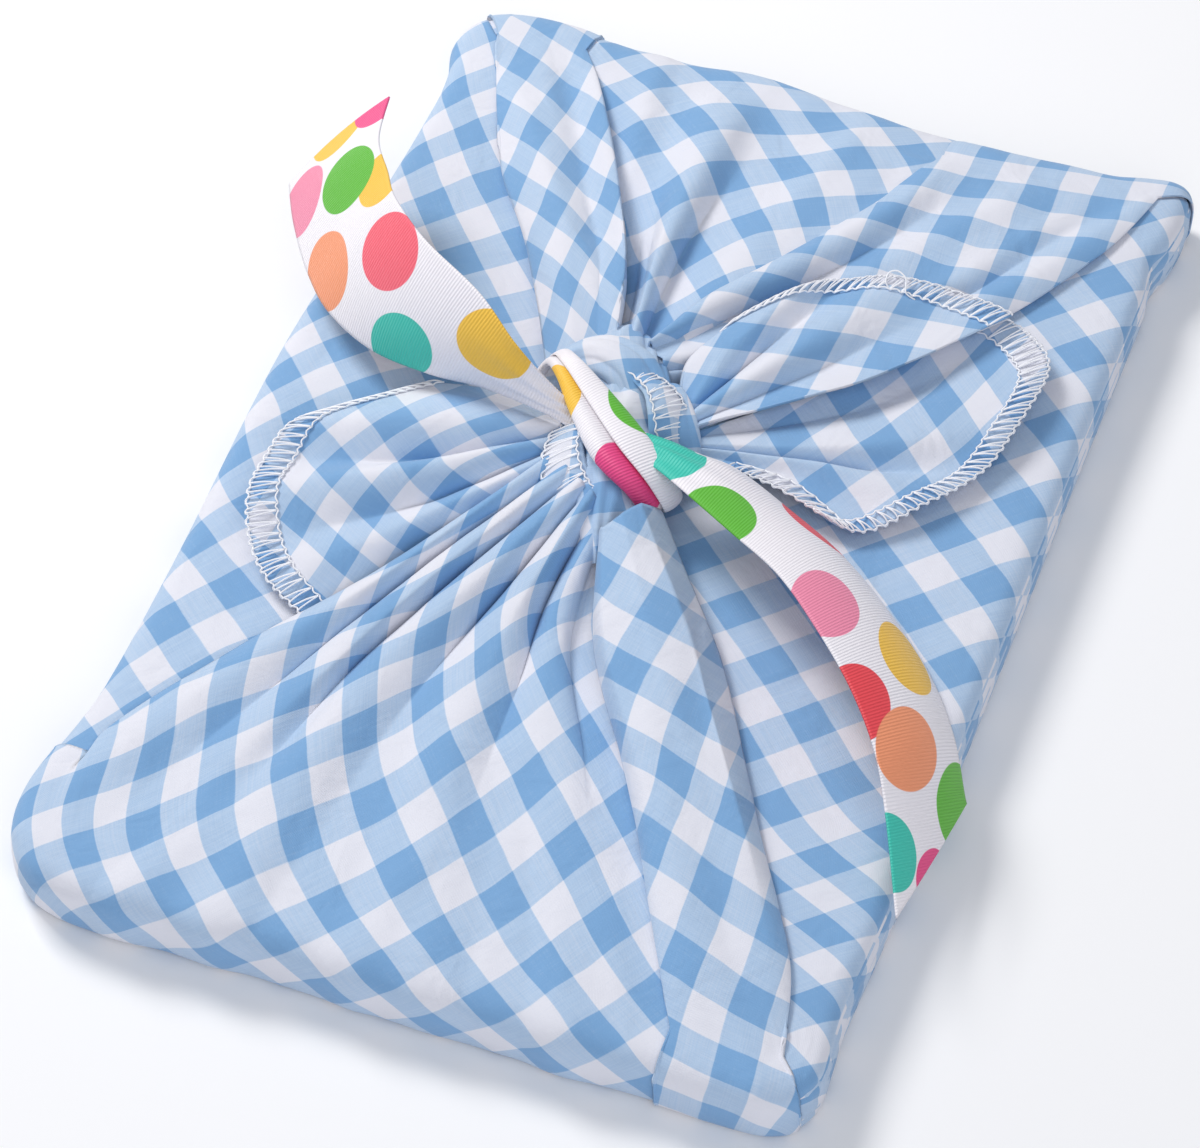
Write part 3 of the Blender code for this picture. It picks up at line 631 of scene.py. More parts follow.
def photo_place(pixel: Tuple[int, int], level: float) -> np.ndarray:
    """Find the place that a pixel of the photograph shows.

    Args:
        pixel: across and down the photograph.
        level: the height of the place in millimetres.

    Returns:
        The place's x and y in millimetres.
    """
    focal = CAMERA_LENS / SENSOR_WIDTH * PHOTO_WIDTH
    eye, ray = np.array(CAMERA_EYE), np.array(CAMERA_FORWARD)
    ray = ray + np.array(CAMERA_RIGHT) * (pixel[0] - PHOTO_WIDTH / 2) / focal
    ray = ray - np.array(CAMERA_UPWARD) * (pixel[1] - PHOTO_HEIGHT / 2) / focal
    reach = (level * MM - eye[2]) / ray[2]
    return (eye + ray * reach)[:2] / MM


@dataclass
class Parcel:
    """The wrapped body's outline and sides, with the same rings as the CAD model."""

    width: float = 206.0
    length: float = 314.0
    outline_steps: int = 104
    fine_steps: int = 12
    rings: List[np.ndarray] = field(default_factory=list)
    outline: np.ndarray = field(init=False)
    inwards: np.ndarray = field(init=False)

    def __post_init__(self) -> None:
        """Work out the rings round the sides."""
        half_width, half_length = self.width / 2, self.length / 2
        corners = [(half_width + b.out, b.place) for b in RIGHT_SIDE]
        corners += [(b.place, half_length + b.out) for b in FAR_SIDE]
        corners += [(-half_width - b.out, b.place) for b in LEFT_SIDE]
        corners += [(b.place, -half_length - b.out) for b in NEAR_SIDE]
        points = np.array(corners, dtype=float)
        total = len(points) * self.fine_steps
        fine = catmull(points, np.arange(total) / self.fine_steps, closed=True)
        loop = np.vstack([fine, fine[:1]])
        lengths = arc_lengths(loop)
        wanted = lengths[-1] * np.arange(self.outline_steps) / self.outline_steps
        outline = np.stack([np.interp(wanted, lengths, loop[:, k]) for k in (0, 1)], axis=1)
        along = np.roll(outline, -1, axis=0) - np.roll(outline, 1, axis=0)
        inwards = np.stack([-along[:, 1], along[:, 0]], axis=1)
        inwards /= np.linalg.norm(inwards, axis=1, keepdims=True)
        self.outline, self.inwards = outline, inwards
        for ring in SIDE_RINGS:
            moved = outline + inwards * ring.inset
            self.rings.append(np.column_stack([moved, np.full(self.outline_steps, ring.z)]))

    def place_near(self, x: float, y: float, start: float) -> float:
        """Find the position round the outline nearest to a point.

        Args:
            x: the point across the parcel.
            y: the point along the parcel.
            start: the middle of the one turn round the outline that is searched.

        Returns:
            A position in outline steps.
        """
        positions = start + np.arange(0, self.outline_steps, 0.1) - self.outline_steps * 0.5
        points = catmull(self.outline, positions, closed=True)
        distances = (points[:, 0] - x) ** 2 + (points[:, 1] - y) ** 2
        return float(positions[int(distances.argmin())])

    def wall(self, places: np.ndarray, proud: Union[float, np.ndarray],
             per_ring: int) -> Tuple[np.ndarray, np.ndarray]:
        """Return the side's points from the floor to the rim, and its outward directions.

        Args:
            places: positions round the outline.
            proud: how far the points stand out of the CAD side, one number or one for each place.
            per_ring: fine steps between rings.

        Returns:
            An array (place, height, xyz) and an array (place, xy).
        """
        columns = np.stack([catmull(ring, places, closed=True) for ring in self.rings])
        count = (len(SIDE_RINGS) - 1) * per_ring + 1
        fine = catmull(columns, np.arange(count) / per_ring).transpose(1, 0, 2)
        outwards = -catmull(self.inwards, places, closed=True)
        outwards /= np.linalg.norm(outwards, axis=1, keepdims=True)
        swell = np.zeros(len(places))
        outline = catmull(self.outline, places, closed=True)
        for s in SIDE_SWELLS:
            squares = (outline[:, 0] - s.x) ** 2 + (outline[:, 1] - s.y) ** 2
            swell += s.out * np.exp(-squares / s.reach ** 2)
        fine[:, :, :2] += outwards[:, None, :] * swell[:, None, None]
        share = np.clip((TOP - fine[:, :, 2]) / TOP, 0.0, 1.0)
        side = np.sqrt(1 - (1 - np.minimum(share * 4, 1.0)) ** 2)
        proud = np.broadcast_to(proud, len(places))[:, None]
        fine[:, :, :2] += outwards[:, None, :] * (proud * side)[:, :, None]
        fine[:, :, 2] += proud * (1 - share)
        fine[:, :, 2] = np.maximum(fine[:, :, 2], FLOOR_LEVEL)
        return fine, outwards


PARCEL = Parcel()
Socket = Union[bpy.types.NodeSocket, float]


def srgb(code: str) -> Tuple[float, float, float, float]:
    """Turn a hex colour into linear values.

    Args:
        code: the colour as #RRGGBB.

    Returns:
        Red, green, blue and a full alpha.
    """
    values = [int(code[k:k + 2], 16) / 255 for k in (1, 3, 5)]
    linear = [v / 12.92 if v <= 0.04045 else ((v + 0.055) / 1.055) ** 2.4 for v in values]
    return (linear[0], linear[1], linear[2], 1.0)


class Nodes:
    """A material's node tree with one way to add a node."""

    def __init__(self, name: str) -> None:
        """Start a material with only its shader.

        Args:
            name: the material's name.
        """
        self.material = bpy.data.materials.new(name)
        self.material.use_nodes = True
        self.tree = self.material.node_tree
        self.shader = self.tree.nodes["Principled BSDF"]

    def add(self, kind: str, settings: Optional[Dict[str, Any]] = None,
            inputs: Optional[Dict[Union[str, int], Any]] = None) -> bpy.types.Node:
        """Add a node.

        Args:
            kind: the node's type without its ShaderNode prefix.
            settings: attributes to set on the node.
            inputs: sockets by name or number, each a value or an output to link from.

        Returns:
            The new node.
        """
        node = self.tree.nodes.new("ShaderNode" + kind)
        for key, value in (settings or {}).items():
            setattr(node, key, value)
        for key, value in (inputs or {}).items():
            if isinstance(value, bpy.types.NodeSocket):
                self.tree.links.new(value, node.inputs[key])
            else:
                node.inputs[key].default_value = value
        return node

    def math(self, operation: str, first: Socket, second: Socket = 0.0,
             third: Socket = 0.0) -> bpy.types.NodeSocket:
        """Add a Math node.

        Args:
            operation: what it works out.
            first: a value or an output to link from.
            second: as first.
            third: as first.

        Returns:
            Its output.
        """
        node = self.add("Math", {"operation": operation}, {0: first, 1: second, 2: third})
        return node.outputs[0]

    def finish_shader(self, values: Dict[str, Any]) -> bpy.types.Material:
        """Set the shader's sockets.

        Args:
            values: sockets by name, each a value or an output to link from.

        Returns:
            The finished material.
        """
        for key, value in values.items():
            if isinstance(value, bpy.types.NodeSocket):
                self.tree.links.new(value, self.shader.inputs[key])
            else:
                self.shader.inputs[key].default_value = value
        return self.material


@dataclass(frozen=True)
class GinghamCotton:
    """Yarn-dyed cotton poplin in a 10 mm gingham, washed soft.

    Warp and weft are blue and white in turn, so a check is blue, half blue or white. It is matt,
    with thick places in single threads that show as faint streaks both ways.
    """

    name: str = "gingham_cotton"
    white: str = "#E3E4ED"
    half: str = "#B3CAE4"
    blue: str = "#7CA8D4"
    edge: float = 0.010
    thread: float = 0.55
    roughness: float = 0.88

    def stripes(self, nodes: Nodes, coordinate: Socket) -> bpy.types.NodeSocket:
        """Add the stripes across one coordinate.

        Args:
            nodes: the material's tree.
            coordinate: millimetres across the threads.

        Returns:
            A value that is 0 on white and 1 on blue.
        """
        turned = nodes.math("FRACT", nodes.math("MULTIPLY_ADD", coordinate, 1 / CHECK_REPEAT, 100.5))
        distance = nodes.math("ABSOLUTE", nodes.math("SUBTRACT", turned, 0.5))
        ramp = nodes.add("MapRange", {"interpolation_type": "SMOOTHSTEP"}, {
            "Value": distance, "From Min": 0.25 - self.edge, "From Max": 0.25 + self.edge})
        return ramp.outputs["Result"]

    def streaks(self, nodes: Nodes, u: Socket, v: Socket, along: float,
                across: float) -> bpy.types.NodeSocket:
        """Add noise drawn out along the threads.

        Args:
            nodes: the material's tree.
            u: millimetres across the warp.
            v: millimetres across the weft.
            along: the noise's scale for u.
            across: the noise's scale for v.

        Returns:
            A value from 0 to 1.
        """
        place = nodes.add("CombineXYZ", None, {
            "X": nodes.math("MULTIPLY", u, along), "Y": nodes.math("MULTIPLY", v, across)})
        cloud = nodes.add("TexNoise", {"noise_dimensions": "2D"}, {
            "Vector": place.outputs[0], "Scale": 1.0, "Detail": 2.0, "Roughness": 0.6})
        return cloud.outputs["Fac"]

    def make(self) -> bpy.types.Material:
        """Build the material.

        Returns:
            The material.
        """
        nodes = Nodes(self.name)
        uv = nodes.add("UVMap", {"uv_map": "cloth"})
        wobble = nodes.add("TexNoise", {"noise_dimensions": "2D"}, {
            "Vector": uv.outputs[0], "Scale": 0.09, "Detail": 1.0})
        shift = nodes.add("VectorMath", {"operation": "MULTIPLY_ADD"}, {
            0: wobble.outputs["Color"], 1: (0.7, 0.7, 0.0), 2: uv.outputs[0]})
        parts = nodes.add("SeparateXYZ", None, {0: shift.outputs[0]})
        u, v = parts.outputs["X"], parts.outputs["Y"]
        warp, weft = self.stripes(nodes, u), self.stripes(nodes, v)
        warp_streak = self.streaks(nodes, u, v, 2.6, 0.05)
        weft_streak = self.streaks(nodes, u, v, 0.05, 2.6)
        depth = nodes.math("MULTIPLY_ADD", warp, 0.53, nodes.math("MULTIPLY", weft, 0.47))
        streak = nodes.math("SUBTRACT", nodes.math("ADD", warp_streak, weft_streak), 1.0)
        depth = nodes.math("ADD", depth, nodes.math("MULTIPLY", streak, 0.22))
        turn = 2 * math.pi / self.thread
        over = nodes.math("MULTIPLY", nodes.math("SINE", nodes.math("MULTIPLY", u, turn)),
                          nodes.math("SINE", nodes.math("MULTIPLY", v, turn)))
        depth = nodes.math("MULTIPLY_ADD", over, 0.02, depth)
        ramp = nodes.add("ValToRGB", None, {"Fac": depth})
        stops = ramp.color_ramp.elements
        stops[0].position, stops[0].color = 0.02, srgb(self.white)
        stops[1].position, stops[1].color = 0.98, srgb(self.blue)
        middle = stops.new(0.5)
        middle.color = srgb(self.half)
        height = nodes.math("MULTIPLY_ADD", streak, 0.6, nodes.math("MULTIPLY", over, 0.35))
        weave = nodes.add("Bump", None, {"Strength": 0.5, "Distance": 0.00014, "Height": height})
        place = nodes.add("TexCoord")
        rumple = nodes.add("TexNoise", None, {
            "Vector": place.outputs["Object"], "Scale": 55.0, "Detail": 3.0, "Roughness": 0.5,
            "Distortion": 0.6})
        bump = nodes.add("Bump", None, {
            "Strength": 0.7, "Distance": 0.0022, "Height": rumple.outputs["Fac"],
            "Normal": weave.outputs[0]})
        return nodes.finish_shader({
            "Base Color": ramp.outputs["Color"], "Roughness": self.roughness,
            "Sheen Weight": 0.25, "Sheen Roughness": 0.5, "Specular IOR Level": 0.25,
            "Normal": bump.outputs[0]})


@dataclass(frozen=True)
class SpottedGrosgrain:
    """Polyester grosgrain with printed dots: fine ribs across it that catch the light in lines, helped by
    painted shade in each groove and painted highlight on each rib top.
    """

    name: str
    dots: Tuple[Dot, ...]
    white: str = "#F7F3F8"
    rib: float = 0.83
    dot_radius: float = 10.6
    roughness: float = 0.5

    PRINTS = {
        "yellow": "#FBC848", "coral": "#FA6A7B", "peach": "#FA9F74", "teal": "#3CC8B4",
        "green": "#62BC38", "rose": "#F490AE", "magenta": "#EE4B8A", "red": "#F04A54",
    }

    def make(self) -> bpy.types.Material:
        """Build the material.

        Returns:
            The material.
        """
        nodes = Nodes(self.name)
        uv = nodes.add("UVMap", {"uv_map": "ribbon"})
        parts = nodes.add("SeparateXYZ", None, {0: uv.outputs[0]})
        along = parts.outputs["Y"]
        colour = srgb(self.white)
        for dot in self.dots:
            gap = nodes.add("VectorMath", {"operation": "DISTANCE"}, {
                0: uv.outputs[0], 1: (dot.across, dot.along, 0.0)})
            inside = nodes.add("MapRange", {"interpolation_type": "SMOOTHSTEP"}, {
                "Value": gap.outputs["Value"], "From Min": self.dot_radius + 0.15,
                "From Max": self.dot_radius - 0.15})
            mix = nodes.add("Mix", {"data_type": "RGBA"}, {
                "Factor": inside.outputs["Result"], 6: colour, 7: srgb(self.PRINTS[dot.colour])})
            colour = mix.outputs[2]
        wave = nodes.math("SINE", nodes.math("MULTIPLY", along, 2 * math.pi / self.rib))
        # painted shade and highlight: the colour is made darker in each rib's groove and lighter on its
        # top, as light falling across the ribs would do
        shade = nodes.math("MULTIPLY_ADD", wave, 0.03, 0.985)
        rib_shaded_colour = nodes.add("VectorMath", {"operation": "SCALE"}, {0: colour, "Scale": shade})
        bump = nodes.add("Bump", None, {"Strength": 0.4, "Distance": 0.00018, "Height": wave})
        return nodes.finish_shader({
            "Base Color": rib_shaded_colour.outputs[0], "Roughness": self.roughness,
            "Sheen Weight": 0.1, "Specular IOR Level": 0.4, "Normal": bump.outputs[0]})


@dataclass(frozen=True)
class SewingThread:
    """Spun white polyester overlock thread: matt, a little blue from the light through it."""

    name: str = "overlock_thread"
    colour: str = "#F4F5FA"
    roughness: float = 0.7

    def make(self) -> bpy.types.Material:
        """Build the material.

        Returns:
            The material.
        """
        nodes = Nodes(self.name)
        place = nodes.add("TexCoord")
        twist = nodes.add("TexWave", None, {"Vector": place.outputs["Object"], "Scale": 900.0})
        bump = nodes.add("Bump", None, {
            "Strength": 0.2, "Distance": 0.00005, "Height": twist.outputs["Fac"]})
        return nodes.finish_shader({
            "Base Color": srgb(self.colour), "Roughness": self.roughness,
            "Normal": bump.outputs[0]})


@dataclass(frozen=True)
class PaleFloor:
    """A matt white-painted studio table."""

    name: str = "pale_floor"
    colour: str = "#F7F7F8"

    def make(self) -> bpy.types.Material:
        """Build the material.

        Returns:
            The material.
        """
        nodes = Nodes(self.name)
        return nodes.finish_shader({"Base Color": srgb(self.colour), "Roughness": 0.9})


def make_mesh_object(name: str, verts: np.ndarray, faces: List[Sequence[int]],
                     material: bpy.types.Material) -> bpy.types.Object:
    """Make a smooth mesh object.

    Args:
        name: the object's name.
        verts: points in millimetres.
        faces: corner numbers of each face.
        material: its finish.

    Returns:
        The object, at the origin.
    """
    mesh = bpy.data.meshes.new(name)
    mesh.from_pydata([tuple(p) for p in np.asarray(verts) * MM], [], [tuple(f) for f in faces])
    mesh.update()
    mesh.materials.append(material)
    mesh.polygons.foreach_set("use_smooth", [True] * len(mesh.polygons))
    item = bpy.data.objects.new(name, mesh)
    bpy.context.scene.collection.objects.link(item)
    return item


def apply_modifiers(item: bpy.types.Object) -> None:
    """Apply all of an object's modifiers.

    Args:
        item: the object.
    """
    bpy.ops.object.select_all(action="DESELECT")
    item.select_set(True)
    bpy.context.view_layer.objects.active = item
    for modifier in list(item.modifiers):
        bpy.ops.object.modifier_apply(modifier=modifier.name)
    item.select_set(False)


def make_sheet(name: str, grid: np.ndarray, flat: np.ndarray, material: bpy.types.Material,
               thickness: float = 0.45, closed: bool = False, uv_name: str = "cloth",
               upwards: bool = True) -> bpy.types.Object:
    """Make a thin cloth sheet from a grid of points.

    Args:
        name: the object's name.
        grid: points (row, column, xyz) in millimetres.
        flat: the same points on the flat cloth (row, column, uv) in millimetres.
        material: its finish.
        thickness: the cloth's thickness, laid below the points.
        closed: whether the last row joins the first.
        uv_name: the UV map's name.
        upwards: whether most of it faces up, which settles the way its faces point.

    Returns:
        The object, at the origin.
    """
    rows, columns = grid.shape[:2]
    index = np.arange(rows * columns).reshape(rows, columns)
    faces, corners = [], []
    last = rows if closed else rows - 1
    for r in range(last):
        after = (r + 1) % rows
        for c in range(columns - 1):
            quad = (index[r, c], index[r, c + 1], index[after, c + 1], index[after, c])
            faces.append(quad)
            corners.append(((r, c), (r, c + 1), (r + 1, c + 1), (r + 1, c)))
    normals = grid_normals(grid)
    if (normals[..., 2].mean() > 0) == upwards:
        faces = [tuple(reversed(f)) for f in faces]
        corners = [tuple(reversed(c)) for c in corners]
    item = make_mesh_object(name, grid.reshape(-1, 3), faces, material)
    layer = item.data.uv_layers.new(name=uv_name)
    values = []
    for quad in corners:
        for r, c in quad:
            values.extend(flat[r, c] if r < len(flat) else flat[0, c])
    layer.data.foreach_set("uv", np.array(values, dtype=np.float32))
    if thickness:
        solid = item.modifiers.new("thickness", "SOLIDIFY")
        solid.thickness = thickness * MM
        solid.offset = -1.0
        solid.use_quality_normals = True
        apply_modifiers(item)
    return item


def finish_piece(item: bpy.types.Object, node: str) -> None:
    """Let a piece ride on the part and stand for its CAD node.

    Args:
        item: the piece.
        node: the CAD node that it stands for.
    """
    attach(item, "root")
    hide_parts(node)
    LOG.info("made %s with %d faces", item.name, len(item.data.polygons))


def sheet_area(item: bpy.types.Object) -> float:
    """Return half of a thin closed sheet's surface in square metres."""
    return sum(face.area for face in item.data.polygons) / 2


def across_weights(t: np.ndarray, kind: FoldKind, following: FoldKind) -> Tuple[np.ndarray, np.ndarray]:
    """Return how far a crisp fold has moved sideways and in height between two fold lines.

    Args:
        t: shares of the way from one line to the next.
        kind: the first line's kind.
        following: the next line's kind.

    Returns:
        The sideways share and the height share.
    """
    quarter = t * (math.pi / 2)
    if kind is following:
        return t, t
    if following is FoldKind.GUTTER and kind is FoldKind.RIDGE:
        return np.sin(quarter), 1 - np.cos(quarter)
    if kind is FoldKind.GUTTER and following is FoldKind.RIDGE:
        return 1 - np.cos(quarter), np.sin(quarter)
    if kind is FoldKind.RIDGE:
        return t, 1 - np.cos(quarter)
    if following is FoldKind.RIDGE:
        return t, np.sin(quarter)
    return t, t


@dataclass
class FoldedPanel:
    """One gathered face of the cloth, from the floor up its wall, over the rim and to the neck."""

    name: str
    folds: Sequence[Fold]
    checks: Sequence[Check]
    creases: Sequence[Crease]
    flat_size: Tuple[float, float]
    seed: float
    proud: float = 0.7
    steps_across: int = 14
    steps_along: int = 90
    per_ring: int = 3
    crisp_start: float = 0.15
    unevenness: float = 0.35
    end_proud: float = 0.1
    own_height: float = 0.4
    crease_fade: float = 2.5
    bare_height: float = 1.5

    def surface(self) -> Tuple[np.ndarray, np.ndarray]:
        """Work out the panel's shape.

        Returns:
            Its points (column, row, xyz) and the wall's outward directions (column, xy).
        """
        places, start = [], 0.0
        for fold in self.folds:
            start = PARCEL.place_near(fold.rim[0], fold.rim[1], start)
            places.append(start)
        places = np.array(places)
        fold_count = len(self.folds)
        across = np.arange((fold_count - 1) * self.steps_across + 1) / self.steps_across
        fine_places = np.interp(across, np.arange(fold_count), places)
        from_end = np.minimum(across, across[-1] - across)
        proud = self.end_proud + (self.proud - self.end_proud) * np.clip(from_end, 0.0, 1.0)
        walls, outwards = PARCEL.wall(fine_places, proud, self.per_ring)
        rims, _ = PARCEL.wall(places, self.proud, self.per_ring)
        long_positions = np.linspace(0.0, 4.0, self.steps_along + 1)[1:]
        rows = []
        for k, fold in enumerate(self.folds):
            stations = [tuple(rims[k, -1])]
            for x, y, lift in (fold.outer, fold.middle, fold.inner, fold.neck):
                stations.append((x, y, TOP + lift + FOLD_CLEARANCE))
            rows.append(catmull(np.array(stations), long_positions))
        rows = np.array(rows)
        rims_fine = walls[:, -1, :]
        smooth = catmull(rows, across)
        crisp = smooth.copy()
        for r, position in enumerate(across):
            a = min(int(position), fold_count - 2)
            t = position - a
            side, rise = across_weights(np.array(t), self.folds[a].kind, self.folds[a + 1].kind)
            crisp[r, :, :2] = rows[a, :, :2] * (1 - side) + rows[a + 1, :, :2] * side
            crisp[r, :, 2] = rows[a, :, 2] * (1 - rise) + rows[a + 1, :, 2] * rise
        share = np.linspace(0.0, 1.0, self.steps_along)
        crispness = np.clip((share - self.crisp_start) / 0.5, 0.0, 1.0)[None, :, None]
        top = smooth * (1 - crispness) + crisp * crispness
        start_share = np.clip(long_positions / 0.5, 0.0, 1.0)[None, :, None] ** 0.8
        coarse_rim = catmull(np.array([rims[k, -1] for k in range(fold_count)]), across)
        top += (rims_fine - coarse_rim)[:, None, :] * (1 - start_share)
        return np.concatenate([walls, top], axis=1), outwards

    def flat_cloth(self, grid: np.ndarray, outwards: np.ndarray) -> np.ndarray:
        """Find where the panel's points lie on the flat cloth.

        Args:
            grid: the panel's points.
            outwards: the wall's outward directions.

        Returns:
            Flat-cloth coordinates in millimetres, one for each point.
        """
        wall_count = (len(SIDE_RINGS) - 1) * self.per_ring + 1
        level = grid.copy()
        reach = 2 * self.steps_across
        weights = np.exp(-(np.arange(-reach, reach + 1) / (0.8 * self.steps_across)) ** 2)
        weights /= weights.sum()
        padded = np.pad(grid[..., 2], ((reach, reach), (0, 0)), mode="edge")
        even = sum(w * padded[k:k + len(grid)] for k, w in enumerate(weights))
        level[..., 2] = grid[..., 2] * self.own_height + even * (1 - self.own_height)
        places = chart_place(level)
        rim = grid[:, wall_count - 1, :]
        steps = np.linalg.norm(np.diff(grid[:, :wall_count], axis=1), axis=2)
        down = np.cumsum(steps[:, ::-1], axis=1)[:, ::-1]
        down = np.concatenate([down, np.zeros((len(grid), 1))], axis=1)
        drop = rim[:, None, 2] - grid[:, :wall_count, 2]
        lean = LEAN_X * drop * np.maximum(-outwards[:, None, 1], 0.0)
        unrolled = chart_place(rim)[:, None, :] + outwards[:, None, :] * down[:, :, None]
        unrolled[:, :, 0] += lean
        places[:, :wall_count] = unrolled
        return CheckChart(self.checks).flat(places)

    def crumple(self, grid: np.ndarray) -> np.ndarray:
        """Lay the creases and a soft unevenness.

        Args:
            grid: the panel's points.

        Returns:
            The moved points.
        """
        normals = grid_normals(grid)
        if normals[..., 2].mean() < 0:
            normals = -normals
        shift = np.zeros(grid.shape[:2])
        for crease in self.creases:
            start = photo_place(crease.start, crease.level)
            along = photo_place(crease.end, crease.level) - start
            length = float(np.linalg.norm(along))
            along = along / length
            relative = grid[..., :2] - start
            forward = relative @ along
            past = np.maximum(np.maximum(-forward, forward - length), 0.0)
            sideways = relative @ np.array([-along[1], along[0]])
            fade = np.exp(-(past / (crease.width * self.crease_fade)) ** 2)
            shift += crease.height * fade * np.exp(-(sideways / crease.width) ** 2)
        room = np.clip(grid[..., 2] - TOP - self.bare_height, 0.0, 4.0)
        shift = np.maximum(shift, -0.2 - 0.6 * room)
        for r in range(grid.shape[0]):
            for c in range(grid.shape[1]):
                x, y, z = grid[r, c]
                broad = smooth_noise(x * 0.045, y * 0.045, z * 0.05, self.seed)
                shift[r, c] += self.unevenness * broad
                fine = smooth_noise(x * 0.13, y * 0.13, z * 0.1, self.seed + 3)
                shift[r, c] += 0.3 * self.unevenness * fine
        fade = np.clip(grid[..., 2] / 4.0, 0.0, 1.0)
        moved = grid + normals * (shift * fade)[..., None]
        moved[..., 2] = np.maximum(moved[..., 2], FLOOR_LEVEL)
        return moved

    def build(self, material: bpy.types.Material) -> bpy.types.Object:
        """Args:
            material: the cloth's finish.

        Returns:
            The piece.
        """
        grid, outwards = self.surface()
        flat = self.flat_cloth(grid, outwards)
        item = make_sheet(self.name, self.crumple(grid), flat, material)
        finish_piece(item, "cloth")
        area = sheet_area(item)
        LOG.info("%s area %.5f", self.name, area)
        return item


@dataclass
class FlatLayer:
    """A corner of the cloth laid flat over the top, with the wall below it."""

    name: str
    checks: Sequence[Check]
    start: Tuple[float, float]
    end: Tuple[float, float]
    inner_x: float
    flat_size: Tuple[float, float]
    pleats: Tuple[float, ...] = ()
    steps_round: int = 260
    steps_across: int = 70
    per_ring: int = 4
    proud: float = 0.25
    seed: float = 1.0

    def build(self, material: bpy.types.Material) -> bpy.types.Object:
        """Args:
            material: the cloth's finish.

        Returns:
            The piece.
        """
        first = PARCEL.place_near(self.start[0], self.start[1], 0.0)
        last = PARCEL.place_near(self.end[0], self.end[1], first + PARCEL.outline_steps * 0.25)
        places = np.linspace(first, last, self.steps_round)
        wall, outwards = PARCEL.wall(places, self.proud, self.per_ring)
        rim = wall[:, -1, :]
        target = np.column_stack([np.full(len(rim), self.inner_x), rim[:, 1] * 0.55, rim[:, 2]])
        shares = np.linspace(0.0, 1.0, self.steps_across + 1)[1:]
        top = (rim[:, None, :] * (1 - shares[None, :, None])
               + target[:, None, :] * shares[None, :, None])
        wall_count = wall.shape[1]
        steps = np.linalg.norm(np.diff(wall, axis=1), axis=2)
        down = np.cumsum(steps[:, ::-1], axis=1)[:, ::-1]
        down = np.concatenate([down, np.zeros((len(rim), 1))], axis=1)
        unrolled = rim[:, None, :2] + outwards[:, None, :] * down[:, :, None]
        places_flat = np.concatenate([unrolled, top[..., :2]], axis=1)
        flat = CheckChart(self.checks, 1.0).flat(places_flat)
        for z in self.pleats:
            dent = np.exp(-((wall[:, :, 2] - z) / 0.9) ** 2)
            wobble = np.array([0.6 + 0.4 * smooth_noise(p * 0.11, z, 0.0, self.seed) for p in places])
            wall[:, :, :2] -= outwards[:, None, :] * (dent * wobble[:, None] * 0.9)[..., None]
        grid = np.concatenate([wall, top], axis=1)
        for r in range(grid.shape[0]):
            for c in range(wall_count - 6, grid.shape[1]):
                x, y, z = grid[r, c]
                grid[r, c, 2] += 0.14 * smooth_noise(x * 0.05, y * 0.05, 0.0, self.seed)
        item = make_sheet(self.name, grid, flat, material)
        finish_piece(item, "cloth")
        LOG.info("%s area %.5f", self.name, sheet_area(item))
        return item


@dataclass
class BaseWrap:
    """The cloth under the parcel and up its sides to just over the rim."""

    name: str = "base_wrap"
    flat_size: Tuple[float, float] = (0.25, 0.355)

    def build(self, material: bpy.types.Material) -> bpy.types.Object:
        """Args:
            material: the cloth's finish.

        Returns:
            The piece.
        """
        places = np.arange(0, PARCEL.outline_steps, 0.5)
        wall, _ = PARCEL.wall(places, 0.0, 1)
        floor_ring = wall[:, 0, :]
        middle = floor_ring * np.array([0.0, 0.4, 1.0])
        shares = np.linspace(1.0, 0.0, 16)[:-1]
        under = (middle[:, None, :] * shares[None, :, None]
                 + floor_ring[:, None, :] * (1 - shares[None, :, None]))
        grid = np.concatenate([under, wall], axis=1)
        turn = math.radians(45)
        flat = np.stack([grid[..., 0] * math.cos(turn) + grid[..., 1] * math.sin(turn),
                         grid[..., 1] * math.cos(turn) - grid[..., 0] * math.sin(turn)], axis=-1)
        item = make_sheet(self.name, grid, flat, material, thickness=0.0, closed=True, upwards=False)
        finish_piece(item, "cloth")
        area = sum(face.area for face in item.data.polygons)
        LOG.info("%s area %.5f", self.name, area)
        return item


